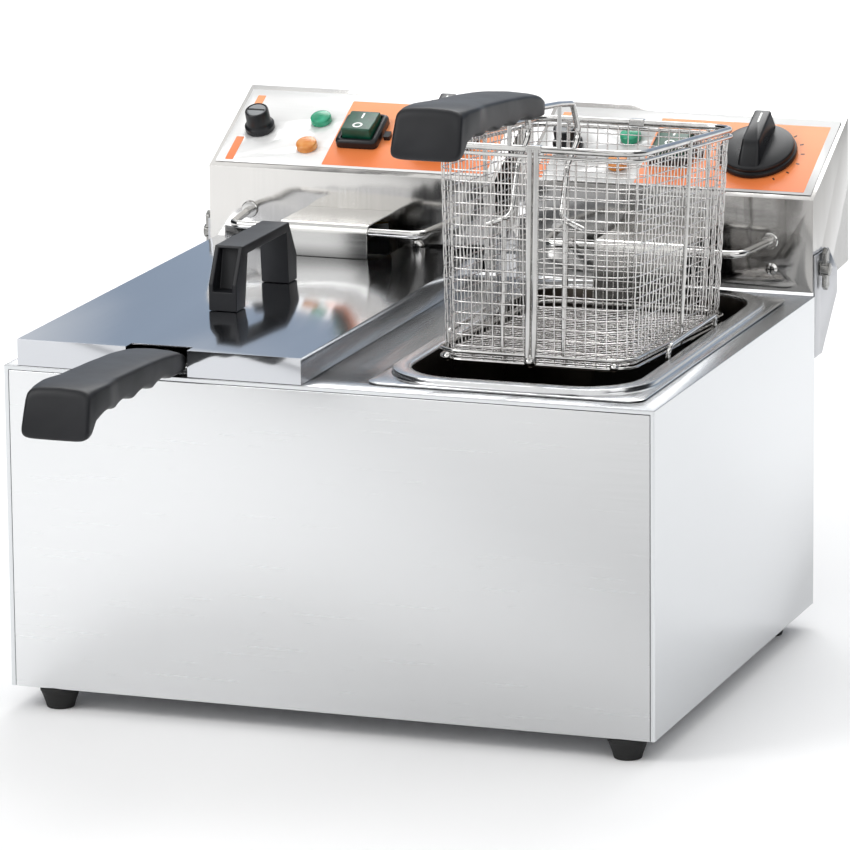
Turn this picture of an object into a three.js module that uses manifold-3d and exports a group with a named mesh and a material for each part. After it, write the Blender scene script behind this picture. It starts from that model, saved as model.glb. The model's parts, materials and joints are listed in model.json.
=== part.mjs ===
// Twin-tank counter-top deep fryer. Millimetres, +X right, +Y back, +Z up.
// Lengths along Y are given from the front of the casing; the whole object is then moved
// forward by ORIGIN_DEPTH, so that its origin lies under the middle of its bounding box.
import * as THREE from 'three';
import { mergeVertices } from 'three/addons/utils/BufferGeometryUtils.js';
import Module from 'manifold-3d';

const wasm = await Module();
wasm.setup();

// ---------- driving dimensions ----------
const ORIGIN_DEPTH = 148.4;
const GAP = 0.3; // between pieces that touch
const SHEET = 1; // stainless sheet of casing, heads and tanks

const CASING = { halfWidth: 225, depth: 366.5, bottom: 15, top: 234.3, lip: 3 };
const FOOT = { left: -195, right: 203, front: 12, rear: 332, top: 13.5, bottom: 9.5, stem: 3 };

const TANK = { x: 116.5, y: 183, halfX: 78, halfY: 151, corner: 38, floor: 40.5, taper: 3 };
const RIM = { flange: 16.5, lip: 11.6, height: 5, corner: 12 };
const DECK_CLEARANCE = 4;

const BAIL = { wire: 3.2, halfLength: 52, pivotZ: 228, height: 18.5, lean: 2.4, inset: 3.4 };

const HEAD = {
  x: 116, halfWidth: 107.2, front: 366.9, bottom: 236.2, frontTop: 301.2,
  backTop: [453.7, 344.5], backBottom: [457.5, 241.5],
};
const SLOPE = Math.atan2(HEAD.backTop[1] - HEAD.frontTop, HEAD.backTop[0] - HEAD.front);
const PIVOT = { y: 380, z: 251 };

// places on the sloped panel: across from the middle of the head, and up the slope
const PANEL = {
  length: 97, overlay: { inset: 3, from: 5, to: 91, thick: 0.3 },
  cap: { x: -83.3, s: 45, radius: 10.7, top: 7.6, tall: 20 },
  green: { x: -40.5, s: 57.3 }, amber: { x: -41.3, s: 26.2 }, lamp: 7.5,
  switch: { x: -4.8, s: 44.7, width: 31.4, length: 35, tall: 7.6 },
  knob: { x: 55.3, s: 46.6, radius: 27.8, tall: 16 },
};
const SURFACE = 0.9; // how far above the steel a control sits: overlay and its gaps

const ROD = { z: 271.1, diameter: 5.4, front: 313.7, halfWall: 76.5, halfFront: 70, bend: 9 };
const COVER = { top: 276, front: 309.6, halfWidth: 32.7, bottom: 72 };
const LEAD = { z: 257, x: 12, back: 372, drop: 322, bulb: 318.5 };
const ELEMENT = { z: 53, diameter: 8, front: 103, outer: 56, inner: 20, rear: 290, bend: 13 };

const LID = {
  x: -115.5, halfWidth: 99.8, front: 0.6, back: 360, bottom: 234.6, top: 252.3, sheet: 0.8,
  notchHalf: 21.6, notchBack: 11.5, rearNotchHalf: 41.5, rearNotch: 307.4, rearSkirt: 10,
};
const BRIDGE = {
  from: 119.5, to: 233.9, halfWidth: 10, legHeight: 18, height: 42.4,
  frontSlant: 13, rearSlant: 14, leg: 16.5, bar: 6.5,
};

// the basket's own frame: x across, y back from the front mesh, z up from the mesh floor
const BASKET = {
  bottomHalf: 65.5, topHalf: 70.4, length: 221, frontHeight: 140, rearHeight: 131,
  corner: 20, mesh: 0.8, rim: 4.4, wire: 3, wireHalf: 17,
};
const GRIP = {
  end: -214.5, tail: -36, halfEnd: 23.7, halfTail: 19.6, socket: 172.5,
  lip: 158.5, scallops: 4, pitch: 28, scallopDepth: 2.6,
};
const IN_TANK = { y: 41, z: 70.8, tilt: 0 };
const HUNG = { y: 76.5, z: 242.6, tilt: -3.2 };

// ---------- materials ----------
const steel = (color, roughness) => new THREE.MeshStandardMaterial({ color, roughness, metalness: 1 });
const plastic = (color, roughness) => new THREE.MeshStandardMaterial({ color, roughness, metalness: 0 });
const polishedSteel = steel(0xd9dadc, 0.15);
const brushedSteel = steel(0xc9cbce, 0.3);
const wireSteel = steel(0xd2d3d5, 0.18);
const elementSteel = steel(0x8d8a86, 0.4);
const brass = steel(0xc9a55c, 0.35);
const blackPlastic = plastic(0x26282c, 0.45);
const blackRubber = plastic(0x1b1c1e, 0.7);
const greenLens = plastic(0x1d8f67, 0.2);
const amberLens = plastic(0xe0812a, 0.2);
const printedFoil = plastic(0xefb49a, 0.4);

// ---------- helpers ----------
const { PI } = Math;
const vec = (x, y, z) => new THREE.Vector3(x, y, z);

function solid(geometry) {
  const bare = geometry.clone();
  bare.deleteAttribute('normal');
  bare.deleteAttribute('uv');
  const merged = mergeVertices(bare, 1e-4);
  return new wasm.Manifold(new wasm.Mesh({
    numProp: 3,
    vertProperties: new Float32Array(merged.attributes.position.array),
    triVerts: new Uint32Array(merged.index.array),
  }));
}

function geometryOf(manifold) {
  const { vertProperties, triVerts } = manifold.getMesh();
  const geometry = new THREE.BufferGeometry();
  geometry.setAttribute('position', new THREE.BufferAttribute(vertProperties, 3));
  geometry.setIndex(new THREE.BufferAttribute(triVerts, 1));
  geometry.computeVertexNormals();
  return geometry;
}

const join = (...parts) => geometryOf(parts.map(solid).reduce((a, b) => a.add(b)));
const cut = (base, ...tools) => geometryOf(tools.map(solid).reduce((a, b) => a.subtract(b), solid(base)));
const common = (a, b) => geometryOf(solid(a).intersect(solid(b)));

const part = (name, geometry, material) => {
  const mesh = new THREE.Mesh(geometry, material);
  mesh.name = name;
  return mesh;
};

// a block given by its low and high corners
function block([x0, y0, z0], [x1, y1, z1]) {
  const geometry = new THREE.BoxGeometry(x1 - x0, y1 - y0, z1 - z0);
  return geometry.translate((x0 + x1) / 2, (y0 + y1) / 2, (z0 + z1) / 2);
}

// a (y, z) outline pushed out along X, from x0 to x1
function prism(outline, x0, x1) {
  const shape = new THREE.Shape(outline.map(([y, z]) => new THREE.Vector2(y, z)));
  const geometry = new THREE.ExtrudeGeometry(shape, { depth: x1 - x0, bevelEnabled: false });
  const axes = new THREE.Matrix4().makeBasis(vec(0, 1, 0), vec(0, 0, 1), vec(1, 0, 0));
  return geometry.applyMatrix4(axes).translate(x0, 0, 0);
}

// an (x, y) outline pushed up from z0 to z1
function slab(outline, z0, z1) {
  const shape = new THREE.Shape(outline.map(([x, y]) => new THREE.Vector2(x, y)));
  const options = { depth: z1 - z0, bevelEnabled: false };
  return new THREE.ExtrudeGeometry(shape, options).translate(0, 0, z0);
}

// a cylinder standing on z0, with its axis along Z
function post(radius, z0, z1, sides = 24, topRadius = radius) {
  const geometry = new THREE.CylinderGeometry(topRadius, radius, z1 - z0, sides);
  return geometry.rotateX(PI / 2).translate(0, 0, (z0 + z1) / 2);
}

// a turned piece: [radius, height] points that start and end on the axis, which lies along Z
function turned(profile, sides = 28) {
  const points = profile.map(([r, z]) => new THREE.Vector2(r, z));
  return new THREE.LatheGeometry(points, sides).rotateX(PI / 2);
}

// bent wire: straight runs between the corners, each corner an arc of the given radius
class BentWire extends THREE.Curve {
  constructor(corners, bend, arcSteps = 3) {
    super();
    this.points = [corners[0]];
    for (let i = 1; i < corners.length - 1; i++) {
      const toPrevious = corners[i - 1].clone().sub(corners[i]);
      const toNext = corners[i + 1].clone().sub(corners[i]);
      const angle = toPrevious.angleTo(toNext);
      const room = Math.min(toPrevious.length(), toNext.length()) * 0.49;
      const reach = Math.min(bend / Math.tan(angle / 2), room);
      const start = corners[i].clone().addScaledVector(toPrevious.normalize(), reach);
      const end = corners[i].clone().addScaledVector(toNext.normalize(), reach);
      const arc = new THREE.QuadraticBezierCurve3(start, corners[i], end);
      this.points.push(...arc.getPoints(arcSteps));
    }
    this.points.push(corners.at(-1));
  }

  get steps() {
    return this.points.length - 1;
  }

  getPointAt(t) {
    const place = t * this.steps;
    const i = Math.min(Math.floor(place), this.steps - 1);
    return this.points[i].clone().lerp(this.points[i + 1], place - i);
  }

  getTangentAt(t) {
    const i = Math.round(t * this.steps);
    const before = this.points[Math.max(i - 1, 0)];
    const after = this.points[Math.min(i + 1, this.steps)];
    return after.clone().sub(before).normalize();
  }

  getSpacedPoints() {
    return this.points;
  }
}

function wire(corners, diameter, bend = 8, arcSteps = 3) {
  const path = new BentWire(corners.map((c) => vec(...c)), bend, arcSteps);
  const section = new THREE.Shape().absarc(0, 0, diameter / 2, 0, 2 * PI);
  const options = { steps: path.steps, curveSegments: 3, extrudePath: path, bevelEnabled: false };
  return new THREE.ExtrudeGeometry(section, options);
}

// a rounded rectangle at height z(x, y), as a closed ring of points
function ring({ halfX, halfY, radius, y = 0, z = 0, steps = 4 }) {
  const points = [];
  [[1, 1], [-1, 1], [-1, -1], [1, -1]].forEach(([sideX, sideY], quarter) => {
    for (let i = 0; i <= steps; i++) {
      const angle = (quarter + i / steps) * PI / 2;
      const px = sideX * (halfX - radius) + radius * Math.cos(angle);
      const py = y + sideY * (halfY - radius) + radius * Math.sin(angle);
      points.push(vec(px, py, typeof z === 'function' ? z(py) : z));
    }
  });
  return points;
}

// a closed skin over successive rings, the first and the last filled in
function loft(rings) {
  const count = rings[0].length;
  const positions = rings.flat().flatMap((p) => [p.x, p.y, p.z]);
  const index = [];
  for (let r = 0; r < rings.length - 1; r++) {
    for (let i = 0; i < count; i++) {
      const a = r * count + i;
      const b = r * count + (i + 1) % count;
      index.push(a, b, b + count, a, b + count, a + count);
    }
  }
  const last = (rings.length - 1) * count;
  for (let i = 1; i < count - 1; i++) {
    index.push(0, i + 1, i, last, last + i, last + i + 1);
  }
  const geometry = new THREE.BufferGeometry();
  geometry.setAttribute('position', new THREE.Float32BufferAttribute(positions, 3));
  geometry.setIndex(index);
  return geometryOf(solid(geometry));
}

// ---------- casing ----------
function casing() {
  const { halfWidth: w, depth, bottom, top, lip } = CASING;
  const outer = block([-w, 0, bottom], [w, depth, top]);
  const hollow = block([-w + SHEET, SHEET, bottom - 5], [w - SHEET, depth + 5, top - SHEET]);
  const window = block([-w + lip, -5, bottom - 5], [w - lip, SHEET + 1, top - lip]);
  const wells = [-1, 1].map((side) => {
    const well = { halfX: TANK.halfX + DECK_CLEARANCE, halfY: TANK.halfY + DECK_CLEARANCE };
    const edge = (z) => ring({ ...well, radius: TANK.corner + DECK_CLEARANCE, y: TANK.y, z });
    return loft([edge(top - 5), edge(top + 5)]).translate(side * TANK.x, 0, 0);
  });
  const inside = w - SHEET - GAP;
  const footHoles = footPlaces().map(([x, y]) => post(FOOT.stem + 0.5, 10, 20, 12).translate(x, y, 0));
  const plate = block([-inside, SHEET + GAP, bottom], [inside, depth - SHEET - GAP, bottom + SHEET]);
  const rear = block([-inside, depth - SHEET, bottom], [inside, depth, top - SHEET - GAP]);
  const front = block([-w + lip + GAP, 0, bottom], [w - lip - GAP, SHEET, top - lip - GAP]);
  return [
    part('casing_wrap', cut(outer, hollow, window, ...wells), polishedSteel),
    part('front_panel', front, polishedSteel),
    part('back_panel', rear, brushedSteel),
    part('base_plate', cut(plate, ...footHoles), brushedSteel),
  ];
}

function footPlaces() {
  return [FOOT.front, FOOT.rear].flatMap((y) => [FOOT.left, FOOT.right].map((x) => [x, y]));
}

function feet() {
  const { bottom } = CASING;
  const profile = [
    [0, 0], [FOOT.bottom - 1, 0], [FOOT.bottom, 1], [FOOT.top, bottom - 2], [FOOT.top, bottom - GAP],
    [FOOT.stem, bottom - GAP], [FOOT.stem, bottom + SHEET + GAP], [FOOT.stem + 2, bottom + SHEET + GAP],
    [FOOT.stem, bottom + 5], [0, bottom + 5],
  ];
  const names = ['front_left', 'front_right', 'rear_left', 'rear_right'];
  return footPlaces().map(([x, y], i) => {
    const foot = part(`foot_${names[i]}`, turned(profile, 16), blackRubber);
    foot.position.set(x, y, 0);
    return foot;
  });
}

// ---------- tanks and their drop handles ----------
function tank(side) {
  const { top } = CASING;
  const seat = top + GAP;
  const at = (offset, z) => ring({
    halfX: TANK.halfX + offset, halfY: TANK.halfY + offset, y: TANK.y, z,
    radius: offset === RIM.flange ? RIM.corner : Math.max(TANK.corner + offset * 0.6, 20),
  });
  const inner = -TANK.taper;
  const skin = loft([
    at(inner - 7, TANK.floor - SHEET), at(inner + SHEET, TANK.floor + 8), at(SHEET, seat),
    at(RIM.flange, seat), at(RIM.flange, seat + SHEET), at(RIM.lip + 0.4, seat + SHEET + 0.3),
    at(RIM.lip, seat + RIM.height), at(2, seat + RIM.height), at(0, seat + RIM.height - 1.8),
    at(inner, TANK.floor + 8), at(inner - 8, TANK.floor),
  ]);
  const name = side < 0 ? 'left' : 'right';
  const body = part(`${name}_tank`, skin, brushedSteel);
  body.position.x = side * TANK.x;
  return body;
}

function bail(side, hand) {
  const { wire: size, halfLength, pivotZ, height, lean, inset } = BAIL;
  const x = TANK.halfX - inset;
  const top = [x + lean, pivotZ + height];
  const geometry = wire([
    [x, TANK.y - halfLength, pivotZ], [top[0], TANK.y - halfLength, top[1]],
    [top[0], TANK.y + halfLength, top[1]], [x, TANK.y + halfLength, pivotZ],
  ], size, 6);
  const name = `${side < 0 ? 'left' : 'right'}_tank_bail_${hand > 0 ? 'right' : 'left'}`;
  const mesh = part(name, hand > 0 ? geometry : mirrored(geometry), wireSteel);
  mesh.position.x = side * TANK.x;
  return mesh;
}

// the mirror image in X, with its faces turned back outwards
function mirrored(geometry) {
  const copy = geometry.clone().scale(-1, 1, 1);
  const flipped = copy.index ? copy : mergeVertices(copy);
  const index = flipped.index.array;
  for (let i = 0; i < index.length; i += 3) [index[i], index[i + 1]] = [index[i + 1], index[i]];
  return flipped;
}

// ---------- head brackets ----------
const BRACKET = { thick: 1.6, foot: 190, footDepth: 18, front: 367.4, back: 423, flange: 16 };

function cheek(x0, x1) {
  const { foot, footDepth, front, back } = BRACKET;
  const outline = [
    [front, foot], [front + footDepth, foot], [back, 226], [back, 243], [400, 262], [front, 262],
  ];
  return prism(outline, x0, x1);
}

const across = (radius, x0, x1, sides = 20) => post(radius, x0, x1, sides).rotateY(PI / 2)
  .translate(0, PIVOT.y, PIVOT.z);

function brackets() {
  const { thick, foot, front, flange } = BRACKET;
  const w = CASING.halfWidth;
  const high = CASING.top - 8;
  const outer = join(
    cheek(w - thick, w),
    block([w - flange, front, foot], [w - thick / 2, front + thick, high]),
  );
  const drilled = cut(outer, across(3, w - 10, w + 10));
  const half = HEAD.x - HEAD.halfWidth - GAP;
  const pin = across(3.5, -half - 5, half + 5, 16);
  const middle = join(
    cheek(-half, -half + thick), cheek(half - thick, half), pin,
    block([-half, front, foot], [half, front + thick, high]),
  );
  return [
    part('head_bracket_right', drilled, brushedSteel),
    part('head_bracket_left', mirrored(drilled), brushedSteel),
    part('head_bracket_middle', middle, brushedSteel),
  ];
}

// the screw's axis lies along X, its wings stand up and down
function wingScrew(side) {
  const w = CASING.halfWidth;
  const geometry = join(
    across(2.5, w - 9, w + 4, 16), across(5, w + GAP, w + 7, 16),
    prism(wingOutline(1), w + 2, w + 5.4), prism(wingOutline(-1), w + 2, w + 5.4),
  );
  const mesh = part(`wing_screw_${side < 0 ? 'left' : 'right'}`, geometry, wireSteel);
  if (side < 0) mesh.geometry = mirrored(geometry);
  return mesh;
}

function wingOutline(up) {
  const { y, z } = PIVOT;
  return [[y - 3, z], [y + 3, z], [y + 4.5, z + up * 12], [y, z + up * 15], [y - 4.5, z + up * 12]];
}

// ---------- control heads ----------
const headOutline = (inset = 0) => {
  const { front, bottom, frontTop, backTop, backBottom } = HEAD;
  return [
    [front + inset, bottom + inset], [backBottom[0] - inset, backBottom[1] + inset],
    [backTop[0] - inset, backTop[1] - inset * 1.1], [front + inset, frontTop - inset * 1.25],
  ];
};

// puts a geometry made flat on the panel (x across, y up the slope, z out of it) in its place
const onPanel = (geometry) => geometry.rotateX(SLOPE).translate(0, HEAD.front, HEAD.frontTop);
const panelAt = (geometry, { x, s }) => onPanel(geometry.translate(x, s, 0));

function panelHoles(low, high) {
  const { cap, green, amber, lamp, knob } = PANEL;
  const hole = (radius, place) => panelAt(post(radius, low, high, 20), place);
  const opening = block([-12.8, -15, low], [12.8, 15, high]);
  return [
    hole(5.5, cap), hole(lamp - 2.2, green), hole(lamp - 2.2, amber), hole(4, knob),
    panelAt(opening, PANEL.switch),
  ];
}

function headShell(screwX, screwHole) {
  const { halfWidth: w } = HEAD;
  const outer = prism(headOutline(), -w, w);
  const inner = prism(headOutline(SHEET), -w + SHEET, w - SHEET);
  const { front, bottom, backTop, backBottom } = HEAD;
  const rearOpening = prism([
    [front + 14, bottom - 5], [backBottom[0] + 9, bottom - 5], [backTop[0] + 9, backTop[1] - 3],
    [backTop[0] - 3, backTop[1] - 3], [backBottom[0] - 3, backBottom[1] + 4], [front + 14, bottom + 4],
  ], -w + SHEET, w - SHEET);
  const leads = block([-28, front - 5, 244], [28, front + 5, 268]);
  const pivots = across(4, -w - 5, w + 5, 20);
  const screw = post(2.6, -5, 5, 12).rotateX(PI / 2).translate(screwX, front, screwHole);
  return cut(outer, inner, rearOpening, leads, pivots, screw, ...panelHoles(-5, 5));
}

function backCover() {
  const { halfWidth: w, front, bottom, backTop, backBottom } = HEAD;
  const inside = w - SHEET - GAP;
  const lower = bottom + 0.5;
  const outline = [
    [front + 14 + GAP, lower], [backBottom[0] - 1.2, lower + 4.4],
    [backTop[0] - 1, backTop[1] - 3.4], [backTop[0] - 2.1, backTop[1] - 3.4],
    [backBottom[0] - 2.4, lower + 5.4], [front + 14 + GAP, lower + 1.1],
  ];
  const entry = post(8.4, -10, 10, 20).rotateX(PI / 2).translate(GLAND.x, backBottom[0], GLAND.z);
  return cut(prism(outline, -inside, inside), entry);
}

const GLAND = { x: -70, z: 262, radius: 11 };

// the gland's mouth is closed by its seal, because it holds no cable
function gland() {
  const nut = turned([
    [0, 4], [8, 4], [GLAND.radius, 5.5], [GLAND.radius, 10], [8.5, 14], [5, 16], [0, 16],
  ], 24);
  const thread = post(7.8, -9, 5, 20);
  const locknut = post(10.5, -9, -4.6, 6);
  return join(nut, thread, locknut).rotateX(-PI / 2)
    .translate(GLAND.x, HEAD.backBottom[0] - 3.2, GLAND.z);
}

function overlay() {
  const { inset, from, to, thick } = PANEL.overlay;
  const w = HEAD.halfWidth - inset;
  const sheet = block([-w, from, GAP], [w, to, GAP + thick]);
  return cut(onPanel(sheet), ...panelHoles(-5, 5));
}

function resetCap() {
  const { cap } = PANEL;
  const shell = turned([
    [0, cap.tall], [cap.top - 0.8, cap.tall], [cap.top, cap.tall - 0.8], [cap.top, 8],
    [cap.radius, 4], [cap.radius, SURFACE], [0, SURFACE],
  ].reverse());
  const bore = post(4.6, -1, cap.tall - 4, 20);
  const slot = block([-cap.top - 1, -0.9, cap.tall - 1.4], [cap.top + 1, 0.9, cap.tall + 1]);
  return panelAt(cut(shell, bore, slot), cap);
}

function lamp(place) {
  const { lamp: radius } = PANEL;
  const profile = [
    [0, -12], [radius - 2.6, -12], [radius - 2.6, SURFACE], [radius, SURFACE],
    [radius, 4.4], [radius - 1.2, 5.8], [0, 6.6],
  ];
  return panelAt(turned(profile, 24), place);
}

function rockerBezel() {
  const { width, length, tall } = PANEL.switch;
  const at = (halfX, halfY, z, radius = 4) => ring({ halfX, halfY, radius, z, steps: 3 });
  const flange = loft([
    at(width / 2, length / 2, SURFACE), at(width / 2, length / 2, tall - 1.6),
    at(width / 2 - 1.6, length / 2 - 1.6, tall),
  ]);
  const body = block([-12.4, -14.6, -18], [12.4, 14.6, SURFACE + 1]);
  const well = block([-11.6, -13.8, -9], [11.6, 13.8, tall + 5]);
  return panelAt(cut(join(flange, body), well), PANEL.switch);
}

// a rocker with a shallow V on top, pivoting about its middle
function rocker() {
  const { tall } = PANEL.switch;
  const outline = [
    [-12.6, tall + 7.4], [-12.8, tall - 2.6], [-8, -2], [8, -2], [12.8, tall - 2.6], [12.6, tall + 4.6],
    [0, tall + 5.4],
  ].reverse();
  return panelAt(prism(outline, -11, 11), PANEL.switch);
}

function knob() {
  const { radius, tall } = PANEL.knob;
  const disc = turned([
    [0, SURFACE + 0.4], [radius, SURFACE + 0.4], [radius, 5], [radius - 2, 8], [radius - 6, 9.6], [0, 9.6],
  ], 28);
  const ridge = loft([
    ring({ halfX: 6.2, halfY: radius - 2, radius: 5, z: 7, steps: 3 }),
    ring({ halfX: 4.6, halfY: radius - 5, radius: 4, z: tall + 6, steps: 3 }),
  ]);
  return panelAt(cut(join(disc, ridge), post(3.4, -1, 14, 16)), PANEL.knob);
}

function thermostat() {
  const body = block([-19, -14, -34], [19, 14, -SHEET - GAP]);
  const shaft = post(3, -4, 13, 16);
  const { s, x } = PANEL.knob;
  const { y, z } = onPanelPoint(s, -34);
  const capillary = wire([
    [x, y + 1, z + 4], [x, y - 3, 262], [4, 385, 262], [0, 372, 262], [0, LEAD.bulb, 262],
    [0, LEAD.bulb, 150],
  ], 2, 5, 2);
  const bulb = post(2.6, 80, 165, 12).translate(0, LEAD.bulb, 0);
  return join(panelAt(join(body, shaft), PANEL.knob), capillary, bulb);
}

// where a point of the panel's frame lies: s up the slope, w out of the panel
function onPanelPoint(s, w) {
  return {
    y: HEAD.front + s * Math.cos(SLOPE) - w * Math.sin(SLOPE),
    z: HEAD.frontTop + s * Math.sin(SLOPE) + w * Math.cos(SLOPE),
  };
}

function limiter() {
  const body = block([-13, -12, -30], [13, 12, -SHEET - GAP]);
  const bush = post(4.2, -3, 12, 16);
  const { x, s } = PANEL.cap;
  const { y, z } = onPanelPoint(s, -30);
  const capillary = wire([
    [x, y + 1, z + 4], [x, y - 2, 250], [-27, 385, 250], [-24, 374, 250],
    [-24, LEAD.bulb, 250], [-24, LEAD.bulb, 150],
  ], 2, 5, 2);
  const bulb = post(2.6, 80, 165, 12).translate(-24, LEAD.bulb, 0);
  return join(panelAt(join(body, bush), PANEL.cap), capillary, bulb);
}

function hangerRod() {
  const { z, diameter, front, halfWall, halfFront, bend } = ROD;
  const wall = HEAD.front - GAP;
  const flanges = [-1, 1].map((side) => post(6, 0, 1.6, 16).rotateX(PI / 2)
    .translate(side * halfWall, wall, z));
  const rod = wire([
    [-halfWall, wall - 0.5, z], [-halfFront, front, z], [halfFront, front, z], [halfWall, wall - 0.5, z],
  ], diameter, bend, 4);
  return join(rod, ...flanges);
}

function elementCover() {
  const { top, front, halfWidth, bottom } = COVER;
  const wall = HEAD.front - GAP;
  const round = [0, 1, 2, 3].map((i) => {
    const angle = i * PI / 6;
    return [front + 6 - 6 * Math.sin(angle), top - 6 + 6 * Math.cos(angle)];
  });
  const inside = [3, 2, 1, 0].map((i) => {
    const angle = i * PI / 6;
    return [front + 6 - 5 * Math.sin(angle), top - 6 + 5 * Math.cos(angle)];
  });
  const outline = [
    [wall, top], ...round, [front, bottom], [front + SHEET, bottom], ...inside, [wall, top - SHEET],
  ].reverse();
  return prism(outline, -halfWidth, halfWidth);
}

function heatingElement() {
  const { z, diameter, front, outer, inner, rear, bend } = ELEMENT;
  const { drop, back, x } = LEAD;
  const half = (side) => [
    [side * x, back, LEAD.z], [side * x, drop, LEAD.z], [side * x, drop, z],
    [side * outer, drop - 10, z], [side * outer, front, z], [side * inner, front, z],
    [side * inner, rear, z],
  ];
  return wire([...half(-1), ...half(1).reverse()], diameter, bend, 3);
}

function wallScrew(x) {
  const z = 251.7;
  const head = turned([[0, 0], [4.6, 0], [4.6, 0.8], [3.6, 2.4], [0, 3]], 20);
  const shank = post(2, -7, 0.5, 12);
  const crosses = [[2.6, 0.5], [0.5, 2.6]].map(([a, b]) => block([-a, -b, 1.4], [a, b, 4]));
  return cut(join(head, shank), ...crosses).rotateX(PI / 2).translate(x, HEAD.front - GAP, z);
}

function head(side, screwX) {
  const name = side < 0 ? 'left' : 'right';
  const group = new THREE.Group();
  group.position.x = side * HEAD.x;
  const pieces = [
    ['head_shell', headShell(screwX, 251.7), polishedSteel],
    ['head_back_cover', backCover(), brushedSteel],
    ['cable_gland', gland(), blackPlastic],
    ['panel_overlay', overlay(), printedFoil],
    ['reset_cap', resetCap(), blackPlastic],
    ['green_lamp', lamp(PANEL.green), greenLens],
    ['amber_lamp', lamp(PANEL.amber), amberLens],
    ['rocker_bezel', rockerBezel(), blackPlastic],
    ['rocker', rocker(), greenLens],
    ['thermostat_knob', knob(), blackPlastic],
    ['thermostat', thermostat(), brass],
    ['limiter', limiter(), brass],
    ['hanger_rod', hangerRod(), wireSteel],
    ['element_cover', elementCover(), polishedSteel],
    ['heating_element', heatingElement(), elementSteel],
    ['wall_screw', wallScrew(screwX), wireSteel],
  ];
  for (const [title, geometry, material] of pieces) group.add(part(`${name}_${title}`, geometry, material));
  return group;
}

// ---------- lid ----------
function lid() {
  const { halfWidth: w, front, back, bottom, top, sheet, notchHalf, notchBack } = LID;
  const { rearNotchHalf, rearNotch, rearSkirt } = LID;
  const offset = -TANK.x - LID.x;
  const outer = block([-w, front, bottom], [w, back, top]);
  const hollow = block([-w + sheet, front + sheet, bottom - 5], [w - sheet, back - sheet, top - sheet]);
  const notch = block([offset - notchHalf, front - 5, bottom - 5], [offset + notchHalf, notchBack, top + 5]);
  const coverNotch = block(
    [offset - rearNotchHalf, rearNotch, bottom - 5], [offset + rearNotchHalf, back + 5, top + 5],
  );
  const shortSkirt = block([-w - 5, back - sheet - 0.1, bottom - 5], [w + 5, back + 5, top - rearSkirt]);
  const mesh = part('lid', cut(outer, hollow, notch, coverNotch, shortSkirt), polishedSteel);
  mesh.position.x = LID.x;
  return mesh;
}

function lidHandle() {
  const { from, to, halfWidth, legHeight, height, frontSlant, rearSlant, leg, bar } = BRIDGE;
  const z = LID.top + GAP;
  const bridge = prism([
    [from, z], [from + leg, z], [from + leg + 6, z + height - bar], [to - leg - 3, z + height - bar],
    [to - leg, z], [to, z], [to, z + legHeight], [to - rearSlant, z + height],
    [from + frontSlant, z + height], [from, z + legHeight],
  ], -halfWidth, halfWidth);
  const pocket = prism([
    [from - 5, z + 13], [from + 12, z + 13], [from + 19, z + height - 1.8], [from + 2, z + height - 1.8],
  ], -halfWidth + 3.2, halfWidth - 3.2);
  const mesh = part('lid_handle', cut(bridge, pocket), blackPlastic);
  mesh.position.x = -TANK.x;
  return mesh;
}

// ---------- baskets ----------
const HANGER = { x: 50, over: 46.3, behind: 240.6, down: 34 };

const rimHeight = (y, lift = 0) => {
  const { frontHeight, rearHeight, length } = BASKET;
  return frontHeight + (rearHeight - frontHeight) * y / length + lift;
};

function basketTub() {
  const { bottomHalf, topHalf, length, corner, mesh, rim } = BASKET;
  const halfY = length / 2;
  const at = (halfX, inset, z) => ring({
    halfX: halfX - inset, halfY: halfY - inset, radius: corner - inset, y: halfY, z, steps: 3,
  });
  const lip = (y) => rimHeight(y, -rim / 2 - GAP);
  return loft([
    at(bottomHalf - 5, 0, 0), at(bottomHalf, 0, 6), at(topHalf, 0, lip), at(topHalf, mesh, lip),
    at(bottomHalf, mesh, 6.5), at(bottomHalf - 5, mesh, mesh),
  ]);
}

// a rounded rectangle of wire, its ends meeting at the middle of the rear
function hoop(halfX, y0, y1, heightAt, diameter, bend) {
  const corners = [[0.2, y1], [halfX, y1], [halfX, y0], [-halfX, y0], [-halfX, y1], [-0.2, y1]];
  return wire(corners.map(([x, y]) => [x, y, heightAt(y)]), diameter, bend, 3);
}

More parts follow.
